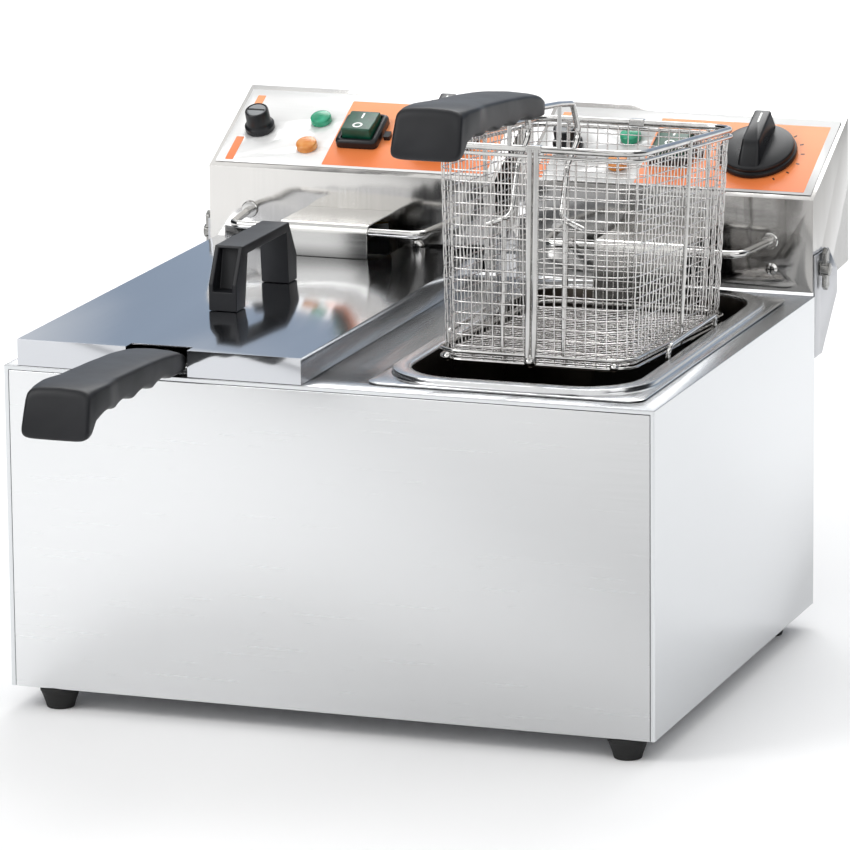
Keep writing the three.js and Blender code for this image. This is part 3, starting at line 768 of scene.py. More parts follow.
# ---------- geometry node trees ----------
class NodeShape:
    """A geometry node tree with named inputs, run on a mesh and made plain."""

    def __init__(self, name: str, inputs: dict[str, str]) -> None:
        """Start a tree with a geometry input and output.

        Args:
            name: the tree's name.
            inputs: input names with the last word of their socket types.
        """
        self.tree = bpy.data.node_groups.new(name, "GeometryNodeTree")
        face = self.tree.interface
        sockets = {"Geometry": "Geometry", **inputs}
        self.ids = {
            title: face.new_socket(
                title, in_out="INPUT", socket_type=f"NodeSocket{kind}",
            ).identifier for title, kind in sockets.items()
        }
        face.new_socket("Geometry", in_out="OUTPUT", socket_type="NodeSocketGeometry")
        self.given = self.add("NodeGroupInput").outputs

    def add(self, kind: str, parts: dict | None = None) -> Node:
        """Add a node to this tree."""
        return add_node(self.tree, kind, parts)

    def end(self, *shapes: tuple[Node, Socket]) -> None:
        """Realise each shape's instances, set its material, and close the tree.

        Args:
            shapes: the shapes, each with the input that gives its material.
        """
        real = [
            self.add("GeometryNodeSetMaterial", {
                "Geometry": self.add("GeometryNodeRealizeInstances", {"Geometry": shape}),
                "Material": finish,
            }).outputs[0] for shape, finish in shapes
        ]
        whole = self.add(JOIN, {0: real}) if len(real) > 1 else real[0]
        self.add("NodeGroupOutput", {"Geometry": whole})

    def run(self, mesh: Mesh, values: dict[str, object]) -> Mesh:
        """Run the tree on a mesh.

        Args:
            mesh: the input, which is used up.
            values: input names with their values.

        Returns:
            The plain mesh that the tree makes.
        """
        working = plain_object("working", mesh)
        modifier = working.modifiers.new(self.tree.name, "NODES")
        modifier.node_group = self.tree
        for title, value in values.items():
            modifier[self.ids[title]] = value
        return baked(working)


class BentWire(NodeShape):
    """Round wire along straight runs, with each corner bent to a radius."""

    def __init__(self) -> None:
        """Build the tree: runs to curves, corners filleted, a round section swept along."""
        super().__init__("bent_wire", {
            "Radius": "Float", "Bend": "Float", "Steps": "Int", "Sides": "Int",
            "Finish": "Material",
        })
        bent = self.add("GeometryNodeFilletCurve", {
            "mode": "POLY", "Limit Radius": True, "Radius": self.given["Bend"],
            "Curve": self.add("GeometryNodeMeshToCurve", {"Mesh": self.given["Geometry"]}),
            "Count": self.given["Steps"],
        })
        section = self.add("GeometryNodeCurvePrimitiveCircle", {
            "Radius": self.given["Radius"], "Resolution": self.given["Sides"],
        })
        swept = self.add("GeometryNodeCurveToMesh", {
            "Fill Caps": True, "Curve": bent, "Profile Curve": section,
        })
        self.end((swept, self.given["Finish"]))

    def make(
        self, runs: Sequence[Sequence[Point]], diameter: float, bend: float, sides: int = 12,
        closed: bool = False, steps: int = 6,
    ) -> Mesh:
        """Make one mesh of plated wires, from sizes in millimetres.

        Args:
            runs: the corners of each wire.
            diameter: the wire's diameter.
            bend: the bend radius.
            sides: sides of the round section.
            closed: whether each wire is a closed loop.
            steps: steps in each bend.

        Returns:
            The wires as a plain mesh.
        """
        mesh = bpy.data.meshes.new("runs")
        points: list[Vector] = []
        edges: list[tuple[int, int]] = []
        for run in runs:
            first = len(points)
            points += [Vector(p) * MM for p in run]
            edges += [(i, i + 1) for i in range(first, len(points) - 1)]
            if closed:
                edges.append((len(points) - 1, first))
        mesh.from_pydata(points, edges, [])
        made = self.run(mesh, {
            "Radius": diameter / 2 * MM, "Bend": bend * MM, "Steps": steps, "Sides": sides,
            "Finish": WIRE_STEEL.material(),
        })
        return painted(outwards(made, 50.0), WIRE_STEEL)


class WovenTub(NodeShape):
    """Wires woven round a tub with rounded corners, and across its floor.

    One grid of points is laid round the tub's wall and one across its floor. Each gives its
    upright and its level wires, which step in and out by turns, as woven wires do."""

    def __init__(self) -> None:
        """Build the tree with its named sizes."""
        floats = (
            "Bottom Width", "Top Width", "Length", "Corner", "Front Height", "Rear Height", "Wire",
        )
        counts = ("Around", "Rows", "Floor Across", "Floor Along")
        super().__init__("woven_tub", {
            **{title: "Float" for title in floats}, **{title: "Int" for title in counts},
            "Finish": "Material",
        })
        wires = [*self.wires(*self.wall(), "Rows"), *self.wires(*self.floor(), "Floor Along")]
        self.end((self.add(JOIN, {0: wires}), self.given["Finish"]))

    def outline(self, width: str) -> Node:
        """A rounded rectangle of the tub's length and a named width."""
        return self.add("GeometryNodeFilletCurve", {
            "mode": "POLY", "Count": 10, "Limit Radius": True, "Radius": self.given["Corner"],
            "Curve": self.add("GeometryNodeCurvePrimitiveQuadrilateral", {
                "mode": "RECTANGLE", "Width": self.given[width], "Height": self.given["Length"],
            }),
        })

    def wall(self) -> tuple[Node, Socket]:
        """Lay the wall's grid between the bottom and the top outline.

        Returns:
            The grid, and the way out of the wall at each point.
        """
        grid = self.add("GeometryNodeMeshGrid", {
            "Size X": 1.0, "Size Y": 1.0, "Vertices X": self.given["Around"],
            "Vertices Y": self.given["Rows"],
        })
        share = self.add("ShaderNodeSeparateXYZ", {"Vector": self.add(VECTOR, {
            "operation": "ADD", 0: self.add("GeometryNodeInputPosition"), 1: (0.5, 0.5, 0.0),
        })}).outputs
        low, high = (
            self.add("GeometryNodeSampleCurve", {
                "mode": "FACTOR", "use_all_curves": False, "Curves": self.outline(width),
                "Factor": share["X"],
            }).outputs for width in ("Bottom Width", "Top Width")
        )
        spot = self.add("ShaderNodeSeparateXYZ", {"Vector": self.add("ShaderNodeMix", {
            "data_type": "VECTOR", "Factor": share["Y"], 4: low["Position"], 5: high["Position"],
        }).outputs[1]}).outputs
        back = self.add(CALC, {"operation": "ADD", 1: 0.5, 0: self.add(CALC, {
            "operation": "DIVIDE", 0: spot["Y"], 1: self.given["Length"],
        })})
        rise = self.add("ShaderNodeMix", {
            "data_type": "FLOAT", "Factor": back, 2: self.given["Front Height"],
            3: self.given["Rear Height"],
        })
        stood = self.add("ShaderNodeCombineXYZ", {
            "X": spot["X"], "Y": spot["Y"],
            "Z": self.add(CALC, {"operation": "MULTIPLY", 0: share["Y"], 1: rise}),
        })
        kept = self.add("GeometryNodeCaptureAttribute", {"domain": "POINT", "Geometry": grid})
        kept.capture_items.new("VECTOR", "out")
        fit(self.tree, kept, {"out": self.add(VECTOR, {
            "operation": "CROSS_PRODUCT", 0: low["Tangent"], 1: (0.0, 0.0, 1.0),
        })})
        laid = self.add("GeometryNodeSetPosition", {"Geometry": kept, "Position": stood})
        return laid, kept.outputs["out"]

    def floor(self) -> tuple[Node, Socket]:
        """Lay the floor's grid, with what lies past the rounded corners drawn in to them.

        Returns:
            The grid, and the way out of the floor.
        """
        grid = self.add("GeometryNodeMeshGrid", {
            "Size X": self.given["Bottom Width"], "Size Y": self.given["Length"],
            "Vertices X": self.given["Floor Across"], "Vertices Y": self.given["Floor Along"],
        })
        place = self.add("GeometryNodeInputPosition")
        half = self.add(VECTOR, {"operation": "SCALE", "Scale": 0.5, 0: self.add(
            "ShaderNodeCombineXYZ", {"X": self.given["Bottom Width"], "Y": self.given["Length"]})})
        straight = self.add(VECTOR, {"operation": "SUBTRACT", 0: half, 1: self.given["Corner"]})
        beyond = self.add(VECTOR, {"operation": "SUBTRACT", 1: straight, 0: self.add(
            VECTOR, {"operation": "ABSOLUTE", 0: place})})
        past = self.add(VECTOR, {"operation": "MULTIPLY", 1: (1.0, 1.0, 0.0), 0: self.add(
            VECTOR, {"operation": "MAXIMUM", 0: beyond, 1: (0.0, 0.0, 0.0)})})
        reach = self.add(CALC, {"operation": "MAXIMUM", 1: self.given["Corner"], 0: self.add(
            VECTOR, {"operation": "LENGTH", 0: past}).outputs["Value"]})
        kept = self.add(CALC, {"operation": "DIVIDE", 0: self.given["Corner"], 1: reach})
        less = self.add(CALC, {"operation": "SUBTRACT", 0: kept, 1: 1.0})
        pull = self.add(VECTOR, {"operation": "SCALE", "Scale": less, 0: self.add(
            VECTOR, {"operation": "MULTIPLY", 0: past, 1: self.add(
                VECTOR, {"operation": "SIGN", 0: place})})})
        cut = self.add("GeometryNodeSetPosition", {"Geometry": grid, "Offset": pull})
        return cut, self.add("ShaderNodeCombineXYZ", {"Z": -1.0}).outputs[0]

    def wires(
        self, shape: Node, out: Socket, rows: str,
    ) -> list[Node]:
        """Turn a grid's two sets of edges into woven wires.

        Args:
            shape: the grid.
            out: the way out of it at each point.
            rows: the input that says how many points one column of the grid has.

        Returns:
            The upright and the level wires.
        """
        index = self.add("GeometryNodeInputIndex")
        column = self.add(CALC, {"operation": "FLOOR", 0: self.add(
            CALC, {"operation": "DIVIDE", 0: index, 1: self.given[rows]})})
        row = self.add(CALC, {"operation": "MODULO", 0: index, 1: self.given[rows]})
        odd = self.add(CALC, {"operation": "MODULO", 1: 2.0, 0: self.add(
            CALC, {"operation": "ADD", 0: column, 1: row})})
        turns = self.add(CALC, {"operation": "MULTIPLY_ADD", 0: odd, 1: 2.0, 2: -1.0})
        swing = self.add(CALC, {"operation": "MULTIPLY", 0: turns, 1: self.given["Wire"]})
        ends = self.add("GeometryNodeInputMeshEdgeVertices").outputs
        step = self.add(CALC, {"operation": "ABSOLUTE", 0: self.add(CALC, {
            "operation": "SUBTRACT", 0: ends["Vertex Index 1"], 1: ends["Vertex Index 2"],
        })})
        section = self.add("GeometryNodeCurvePrimitiveCircle", {
            "Resolution": 5,
            "Radius": self.add(CALC, {"operation": "MULTIPLY", 0: self.given["Wire"], 1: 0.5}),
        })
        made = []
        # an upright wire joins neighbouring points of a column, and a level one those of a row
        for dropped, side in (("GREATER_THAN", 0.26), ("LESS_THAN", -0.26)):
            push = self.add(VECTOR, {
                "operation": "SCALE", 0: out,
                "Scale": self.add(CALC, {"operation": "MULTIPLY", 0: swing, 1: side}),
            })
            woven = self.add("GeometryNodeSetPosition", {"Geometry": shape, "Offset": push})
            kept = self.add("GeometryNodeDeleteGeometry", {
                "domain": "EDGE", "mode": "EDGE_FACE", "Geometry": woven,
                "Selection": self.add(CALC, {"operation": dropped, 0: step, 1: 1.5}),
            })
            made.append(self.add("GeometryNodeCurveToMesh", {
                "Fill Caps": True, "Curve": self.add("GeometryNodeMeshToCurve", {"Mesh": kept}),
                "Profile Curve": section,
            }))
        return made


class ScrewSet(NodeShape):
    """Pan-head screws, one on each point of a mesh, facing one way, with the shade of the cross
    recess painted on as black bars.
    """

    def __init__(self) -> None:
        """Build the tree: a domed head and two black bars of painted shade for the cross recess,
        instanced on the points.
        """
        super().__init__("pan_head_screws", {
            "Radius": "Float", "Turn": "Rotation", "Finish": "Material", "Recess": "Material",
        })
        # each size is a share of the head's radius
        cones = [
            self.raised("GeometryNodeMeshCone", {
                "Vertices": 20, "Side Segments": 1, "Radius Bottom": self.share(bottom),
                "Radius Top": self.share(top), "Depth": self.share(tall),
            }, lift) for bottom, top, tall, lift in ((1.0, 0.93, 0.3, 0.0), (0.93, 0.6, 0.28, 0.3))
        ]
        # the cross recess: two black bars laid on the dome, painted shade where the real recess is
        # a hole
        slots = [
            self.raised("GeometryNodeMeshCube", {"Size": self.add("ShaderNodeCombineXYZ", {
                "X": self.share(x), "Y": self.share(y), "Z": self.share(0.1),
            })}, 0.57) for x, y in ((1.0, 0.24), (0.24, 1.0))
        ]
        self.end(*(
            (self.add("GeometryNodeInstanceOnPoints", {
                "Points": self.given["Geometry"], "Instance": self.add(JOIN, {0: shapes}),
                "Rotation": self.given["Turn"],
            }), self.given[finish]) for shapes, finish in ((cones, "Finish"), (slots, "Recess"))
        ))

    def share(self, part: float) -> Node:
        """A share of the head's radius."""
        return self.add(CALC, {"operation": "MULTIPLY", 0: self.given["Radius"], 1: part})

    def raised(self, kind: str, parts: dict, lift: float) -> Node:
        """A primitive, raised by a share of the head's radius."""
        return self.add("GeometryNodeTransform", {
            "Geometry": self.add(kind, parts),
            "Translation": self.add("ShaderNodeCombineXYZ", {"Z": self.share(lift)}),
        })

    def make(self, spots: Sequence[Point], tip: float, radius_mm: float) -> Mesh:
        """Set a screw head on each spot.

        Args:
            spots: where the heads stand, in metres.
            tip: the turn about X, in radians, that takes +Z to the way they face.
            radius_mm: the heads' radius.

        Returns:
            The heads as a plain mesh.
        """
        mesh = bpy.data.meshes.new("spots")
        mesh.from_pydata(list(spots), [], [])
        return self.run(mesh, {
            "Radius": radius_mm * MM, "Turn": (tip, 0.0, 0.0),
            "Finish": WIRE_STEEL.material(), "Recess": BLACK_RUBBER_AND_SHADE.material(),
        })


class DialMarks(NodeShape):
    """Short printed marks in an arc round a knob, flat on the panel."""

    def __init__(self) -> None:
        """Build the tree: an arc of points, a thin bar on each, turned to the middle."""
        super().__init__("dial_marks", {
            "Radius": "Float", "Marks": "Int", "Size": "Vector", "Sweep": "Float",
            "Start": "Float", "Finish": "Material",
        })
        spots = self.add("GeometryNodeCurveToPoints", {
            "mode": "COUNT", "Count": self.given["Marks"],
            "Curve": self.add("GeometryNodeCurveArc", {
                "mode": "RADIUS", "Resolution": 64, "Radius": self.given["Radius"],
                "Start Angle": self.given["Start"], "Sweep Angle": self.given["Sweep"],
            }),
        })
        place = self.add("ShaderNodeSeparateXYZ", {
            "Vector": self.add("GeometryNodeInputPosition"),
        }).outputs
        angle = self.add(CALC, {"operation": "ARCTAN2", 0: place["Y"], 1: place["X"]})
        placed = self.add("GeometryNodeInstanceOnPoints", {
            "Points": spots, "Instance": self.add("GeometryNodeMeshCube", {
                "Size": self.given["Size"],
            }), "Rotation": self.add("ShaderNodeCombineXYZ", {"Z": angle}),
        })
        self.end((placed, self.given["Finish"]))


@dataclass
class Trees:
    """The geometry node trees that the sub-assemblies share."""

    wire: BentWire
    tub: WovenTub
    screws: ScrewSet
    marks: DialMarks


# ---------- sub-assemblies ----------
class Side(Enum):
    """The two halves of the fryer, with the way X runs from its middle."""

    LEFT = -1
    RIGHT = 1

    @property
    def word(self) -> str:
        """The side's name, as the nodes use it."""
        return self.name.lower()


@dataclass
class Casing:
    """The folded box, its feet, and the brackets that carry the heads."""

    fold: float = 0.7  # outside radius of a fold in the sheet
    front_edge: float = 0.35
    sheet_edge: float = 0.3
    bracket_edge: float = 0.4
    wing_edge: float = 0.7
    foot_sides: int = 40
    foot: Sequence[Pair] = (
        (8.3, 0.0), (9.2, 0.3), (9.5, 1.1), (10.1, 3.5), (12.7, 10.8), (13.5, 11.8), (13.5, 13.9),
        (13.0, 14.6), (3.0, 14.6), (3.0, 20.0),
    )
    screw_radius: float = 3.4
    screw_inset: float = 12.0
    screw_drop: float = 20.0  # how far the upper row is below the panel's middle
    screw_columns: Sequence[float] = (0.03, 0.35, 0.65, 0.97)

    def build(self, trees: Trees) -> None:
        """Make every piece of the casing."""
        Row.ease(CASING_STEEL, self.fold, 3, "casing_wrap")
        Row.ease(FRONT_STEEL, self.front_edge, 2, "front_panel")
        Row.ease(SATIN_STEEL, self.sheet_edge, 2, "back_panel", "base_plate")
        brackets = (f"head_bracket_{place}" for place in ("left", "right", "middle"))
        Row.ease(SATIN_STEEL, self.bracket_edge, 2, *brackets)
        Row.ease(ZINC_STEEL, self.wing_edge, 3, "wing_screw_left", "wing_screw_right")
        for end in ("front", "rear"):
            for side in Side:
                node = f"foot_{end}_{side.word}"
                low, high = (Vector(corner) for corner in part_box(node))
                middle = (low + high) / 2
                middle.z = low.z
                pad = moved(turned(self.foot, self.foot_sides), Matrix.Translation(middle))
                Row.stand_in(f"{node}_pad", painted(pad, BLACK_RUBBER_AND_SHADE), node)
        self.back_screws(trees)

    def back_screws(self, trees: Trees) -> None:
        """Screws along the edges of the back panel."""
        low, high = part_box("back_panel")
        rows = [low[2] + self.screw_inset * MM, (low[2] + high[2]) / 2 - self.screw_drop * MM]
        columns = [low[0] + (high[0] - low[0]) * t for t in self.screw_columns]
        spots = [(x, high[1], z) for z in rows for x in columns]
        mesh = trees.screws.make(spots, -math.pi / 2, self.screw_radius)
        Row.addition("back_panel_screws", mesh, "back_panel")


@dataclass
class Tank:
    """A lift-out oil tank: a deep-drawn tub with a stepped rim, and two drop handles."""

    side: Side
    half_x: float = 78.0
    half_y: float = 151.0
    corner: float = 38.0
    least_corner: float = 20.0
    taper: float = 0.6  # how much of an offset the corner radius follows
    bead: float = 12.5  # offset past which the flange is trimmed nearly square
    flange: Pair = (16.5, 12.0)  # its offset and corner radius
    # offset from the opening's edge, and height: under the floor, up outside and over the rim,
    # then down inside to the floor
    profile: Sequence[Pair] = (
        (-11.0, 39.5), (-6.0, 40.6), (-3.2, 43.5), (-2.0, 48.5), (1.0, 233.6), (1.4, 234.6),
        (15.6, 234.6), (16.5, 234.8), (16.5, 235.5), (15.9, 235.8), (12.4, 235.9), (11.9, 236.4),
        (11.6, 237.2), (11.5, 238.8), (11.1, 239.4), (10.3, 239.6), (2.6, 239.6), (1.2, 239.4),
        (0.35, 238.8), (0.0, 237.8), (-0.2, 226.0), (-2.6, 62.0), (-3.2, 52.0), (-5.0, 44.5),
        (-9.0, 40.9), (-13.0, 40.5),
    )
    clean_rows: int = 19  # rows of faces outside the tank and over its rim; the rest, inside, take the darker oiled steel with its painted shade
    corner_steps: int = 10
    wire: float = 3.2
    bail_length: float = 104.0
    bail_lean: float = 2.4
    bail_bend: float = 5.0
    bail_foot: float = 7.0  # how far its ends turn in to their ears

    def build(self, trees: Trees) -> None:
        """Make the tank and its handles."""
        node = f"{self.side.word}_tank"
        low, high = (Vector(corner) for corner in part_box(node))
        middle = (low + high) / 2
        middle.z = 0.0
        mesh = moved(mesh_of(loft([
            rounded_ring(
                self.half_x + off, self.half_y + off, self.radius(off), z, self.corner_steps,
            ) for off, z in self.profile
        ]), 40), Matrix.Translation(middle))
        # the inside of the tank takes the oiled steel, whose darker tone is also painted shade
        for finish in (TANK_STEEL, OILED_SHADED_STEEL):
            mesh.materials.append(finish.material())
        around = 4 * (self.corner_steps + 1)
        for index, face in enumerate(mesh.polygons):
            face.material_index = int(index // around >= self.clean_rows)
        Row.stand_in(f"{node}_drawn", mesh, node)
        for hand in Side:
            self.drop_handle(trees, hand, middle.y / MM)

    def radius(self, offset: float) -> float:
        """The corner radius at an offset: the flange is trimmed nearly square outside the bead."""
        if offset > self.bead:
            return self.flange[1] + offset - self.flange[0]
        return max(self.corner + offset * self.taper, self.least_corner)

    def drop_handle(self, trees: Trees, hand: Side, middle: float) -> None:
        """Bend one drop handle, with its ends turned in to their ears.

        Args:
            trees: the shared node trees.
            hand: the side of the tank that it is on.
            middle: the tank's middle along Y, in millimetres.
        """
        node = f"{self.side.word}_tank_bail_{hand.word}"
        low, high = (Vector(corner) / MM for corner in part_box(node))
        thick = self.wire / 2
        x = low.x + thick if hand is Side.RIGHT else high.x - thick
        foot, top = low.z + thick, high.z - thick
        out = x + hand.value * self.bail_lean
        near, far = middle - self.bail_length / 2, middle + self.bail_length / 2
        mesh = trees.wire.make([[
            (x, near + self.bail_foot, foot), (x, near, foot), (out, near, top), (out, far, top),
            (x, far, foot), (x, far - self.bail_foot, foot),
        ]], self.wire, self.bail_bend)
        Row.stand_in(f"{node}_wire", mesh, node)


@dataclass
class Lid:
    """The folded lid and its bridge handle."""

    fold: float = 0.8
    handle_edge: float = 0.8

    def build(self) -> None:
        """Make the lid and its handle."""
        Row.ease(LID_STEEL, self.fold, 3, "lid")
        Row.ease(BLACK_PLASTIC, self.handle_edge, 4, "lid_handle")


@dataclass
class Head:
    """One control head: bent shell, printed panel, controls, hanging rod and heating element.

    A spot on the panel is given across from the head's middle and up the slope."""

    side: Side
    middle: float = 116.0
    front: float = 218.5
    front_top: float = 301.2
    slope: float = math.atan2(43.3, 86.8)
    fold: float = 0.8
    sheet_edge: float = 0.3
    moulded_edge: float = 0.5
    foil_top: float = 0.6  # the panel foil's face above the steel
    # printed fields: from across and up, to across and up
    fields: Sequence[tuple[float, float, float, float]] = (
        (-24.5, 7.5, 98.6, 83.0), (-97.8, 7.5, -91.8, 34.5), (-97.8, 62.5, -91.8, 84.0),
    )
    field_corner: float = 0.8
    print_heights: Pair = (0.02, 0.09)
    marks: int = 15
    marks_radius: float = 31.6
    marks_height: float = 0.13
    mark: Point = (2.6, 1.2, 0.06)
    sweep: float = 290.0
    sweep_start: float = -55.0
    knob: Pair = (55.3, 46.6)
    knob_disc: Sequence[Pair] = (
        (27.0, 1.3), (27.6, 1.5), (27.8, 2.0), (27.8, 4.0), (27.5, 4.5), (26.3, 4.8), (26.0, 5.1),
        (26.4, 5.5), (26.6, 6.2), (26.5, 7.6), (26.0, 8.4), (25.0, 8.8), (14.0, 9.3), (0.4, 9.4),
    )
    # half width, half length, corner radius, height, and how far back it leans
    knob_ridge: Sequence[tuple[float, float, float, float, float]] = (
        (8.0, 25.2, 3.4, 7.0, 0.0), (7.6, 23.6, 3.0, 11.0, 1.4), (6.6, 19.6, 2.6, 18.0, 4.9),
        (6.2, 18.1, 2.3, 20.8, 6.2), (5.9, 17.7, 2.0, 21.6, 6.3), (5.2, 17.0, 1.6, 22.0, 6.3),
    )
    # the white line on the knob's ridge, a pointer mark that also paints in the ridge's highlight,
    # the printed marks and the guide: half width, half length, corner radius, heights
    pointer: tuple[float, float, float, Pair] = (0.7, 5.5, 0.4, (21.8, 22.08))
    pointer_back: float = 15.5
    cap: Pair = (-83.3, 45.0)
    cap_body: Sequence[Pair] = (
        (10.0, 0.9), (10.7, 1.3), (10.7, 4.6), (10.2, 5.3), (9.4, 5.9), (8.9, 7.0), (8.7, 9.0),
        (8.5, 16.2), (8.2, 17.1), (7.6, 17.6), (7.1, 17.6), (6.9, 16.8), (0.3, 16.8),
    )
    cap_button: Sequence[Pair] = ((6.8, 16.3), (6.8, 17.1), (6.3, 17.5), (0.3, 17.6))
    cap_slot: tuple[float, float, float, Pair] = (6.4, 0.7, 0.3, (17.3, 17.75))
    green: Pair = (-40.5, 57.3)
    amber: Pair = (-41.3, 26.2)
    lens: Sequence[Pair] = (
        (4.9, -12.0), (4.9, 0.9), (7.3, 0.9), (7.5, 1.1), (7.5, 4.4), (7.3, 5.1), (6.8, 5.6),
        (6.0, 5.9), (3.4, 6.4), (0.2, 6.6),
    )
    switch: Pair = (-4.8, 44.7)
    off_ring: Sequence[Pair] = ((3.6, 0.0), (3.6, 0.12), (2.3, 0.12), (2.3, 0.0))
    ring_sides: int = 36
    on_bar: tuple[float, float, float, Pair] = (0.75, 3.2, 0.4, (0.0, 0.12))
    # up from the switch's middle, out of the steel, and the turn in degrees
    on_place: Point = (6.4, 12.57, -3.6)
    off_place: Point = (-6.4, 13.98, -9.0)
    guide: tuple[float, float, float, Point] = (2.4, 3.4, 1.0, (0.7, 3.4, 3.9))
    guide_place: Pair = (19.4, -2.0)  # from the switch
    bezel_edge: float = 0.9
    rocker_edge: float = 1.1
    cover_bend: float = 6.5
    cover_sheet: float = 1.0
    cover_edge: float = 0.22
    rod_z: float = 271.1
    rod_front: float = 165.3
    rod_mm: float = 5.4
    rod_bend: float = 9.0
    rod_at_wall: float = 76.5
    rod_at_front: float = 70.0
    rod_sunk: float = 0.3
    flange: Sequence[Pair] = ((6.0, 0.0), (6.0, 0.9), (5.5, 1.4), (3.6, 1.6))
    head_share: float = 0.58  # a screw head's height, as a share of its radius
    back_lean: float = math.atan2(3.8, 103.0)
    back_screw_radius: float = 3.2
    back_screw_inset: float = 9.0

    def panel(self, across: float, up: float, out: float = 0.0) -> Matrix:
        """Where a point of the sloped panel is, with +Z out of the panel.

        Args:
            across: millimetres across from the head's middle.
            up: millimetres up the slope.
            out: millimetres out of the steel.

        Returns:
            The matrix that takes a shape made flat at the origin to that place.
        """
        foot = Vector((self.side.value * self.middle, self.front, self.front_top)) * MM
        return Matrix.Translation(foot) @ Matrix.Rotation(self.slope, 4, "X") @ Matrix.Translation(
            Vector((across, up, out)) * MM)

    def build(self, trees: Trees) -> None:
        """Make every piece of the head."""
        word = self.side.word
        Row.ease(HEAD_STEEL, self.fold, 3, f"{word}_head_shell")
        Row.ease(SATIN_STEEL, self.sheet_edge, 2, f"{word}_head_back_cover")
        Row.ease(KNOB_PLASTIC, self.moulded_edge, 2, f"{word}_cable_gland")
        Row.ease(PANEL_FOIL, 0.1, 1, f"{word}_panel_overlay")
        self.cover()
        Row.ease(BRASS, self.moulded_edge, 2, f"{word}_thermostat", f"{word}_limiter")
        Row.ease(ELEMENT_STEEL, 0.2, 1, f"{word}_heating_element", angle=60.0)
        self.print_panel(trees)
        self.thermostat_knob()
        self.reset_cap()
        for title, spot, finish in (
            ("green_lamp", self.green, LAMP_GREEN), ("amber_lamp", self.amber, LAMP_AMBER),
        ):
            lens = moved(turned(self.lens, 40, 42), self.panel(*spot))
            Row.stand_in(f"{word}_{title}_lens", painted(lens, finish), f"{word}_{title}")
        self.rocker()
        self.rod(trees)
        self.wall_screw(trees)
        self.cover_screws(trees)

    def cover(self) -> None:
        """The plate over the element's cold ends: out from the wall, round a bend and down."""
        node = f"{self.side.word}_element_cover"
        low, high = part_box(node)
        bend, sheet = self.cover_bend * MM, self.cover_sheet * MM
        front, top = low[1], high[2]
        outer, inner = (
            [(front + bend - r * math.sin(a), top - bend + r * math.cos(a)) for a in (
                math.pi / 2 * i / 10 for i in range(11))] for r in (bend, bend - sheet)
        )
        outline = [
            (high[1], top), *outer, (front, low[2]), (front + sheet, low[2]), *inner[::-1],
            (high[1], top - sheet),
        ]
        work = loft([[Vector((x, y, z)) for y, z in outline] for x in (low[0], high[0])])
        bmesh.ops.recalc_face_normals(work, faces=work.faces)
        mesh = eased(written(work), self.cover_edge, 2, 40.0)
        Row.stand_in(f"{node}_bent", painted(mesh, COVER_STEEL), node)

    def print_panel(self, trees: Trees) -> None:
        """Orange fields and dial marks, printed on the foil."""
        word = self.side.word
        prints = []
        for x0, s0, x1, s1 in self.fields:
            field = plate((x1 - x0) / 2, (s1 - s0) / 2, self.field_corner, self.print_heights, 4)
            place = self.panel((x0 + x1) / 2, (s0 + s1) / 2, self.foil_top)
            prints.append(painted(moved(field, place), ORANGE_INK))
        Row.addition(f"{word}_panel_orange_print", join(prints), f"{word}_head_shell")
        ring = trees.marks.run(bpy.data.meshes.new("seed"), {
            "Radius": self.marks_radius * MM, "Marks": self.marks,
            "Size": tuple(v * MM for v in self.mark), "Sweep": math.radians(self.sweep),
            "Start": math.radians(self.sweep_start), "Finish": DARK_INK.material(),
        })
        place = self.panel(*self.knob, self.foil_top + self.marks_height)
        Row.addition(f"{word}_dial_marks", moved(ring, place), f"{word}_head_shell")

    def thermostat_knob(self) -> None:
        """A turned disc with a rolled rim, and a tall tapering pointer ridge with a white line on
        its top, a pointer mark that also paints in the ridge's highlight.
        """
        word = self.side.word
        ridge = mesh_of(loft([
            rounded_ring(x, y, r, z, 6, back) for x, y, r, z, back in self.knob_ridge
        ]), 40)
        ahead = Matrix.Translation((0, self.pointer_back * MM, 0))
        # the white line along the ridge's top: a pointer mark, and painted highlight where the
        # ridge catches the light
        line = moved(plate(*self.pointer, 3), ahead)
        mesh = join([
            painted(turned(self.knob_disc, 72), KNOB_PLASTIC), painted(ridge, KNOB_PLASTIC),
            painted(line, WHITE_INK),
        ])
        mesh = moved(mesh, self.panel(*self.knob))
        Row.stand_in(f"{word}_temperature_knob", mesh, f"{word}_thermostat_knob")

    def reset_cap(self) -> None:
        """A turned screw cap with a grey button in its top, whose slot is a black bar of painted
        shade.
        """
        word = self.side.word
        mesh = join([
            painted(turned(self.cap_body, 48, 30), KNOB_PLASTIC),
            painted(turned(self.cap_button, 32), GREY_PLASTIC),
            # the slot: a black bar on the button, painted shade where the real slot is a groove
            painted(plate(*self.cap_slot, 2), BLACK_RUBBER_AND_SHADE),
        ])
        mesh = moved(mesh, self.panel(*self.cap))
        Row.stand_in(f"{word}_reset_button_cap", mesh, f"{word}_reset_cap")

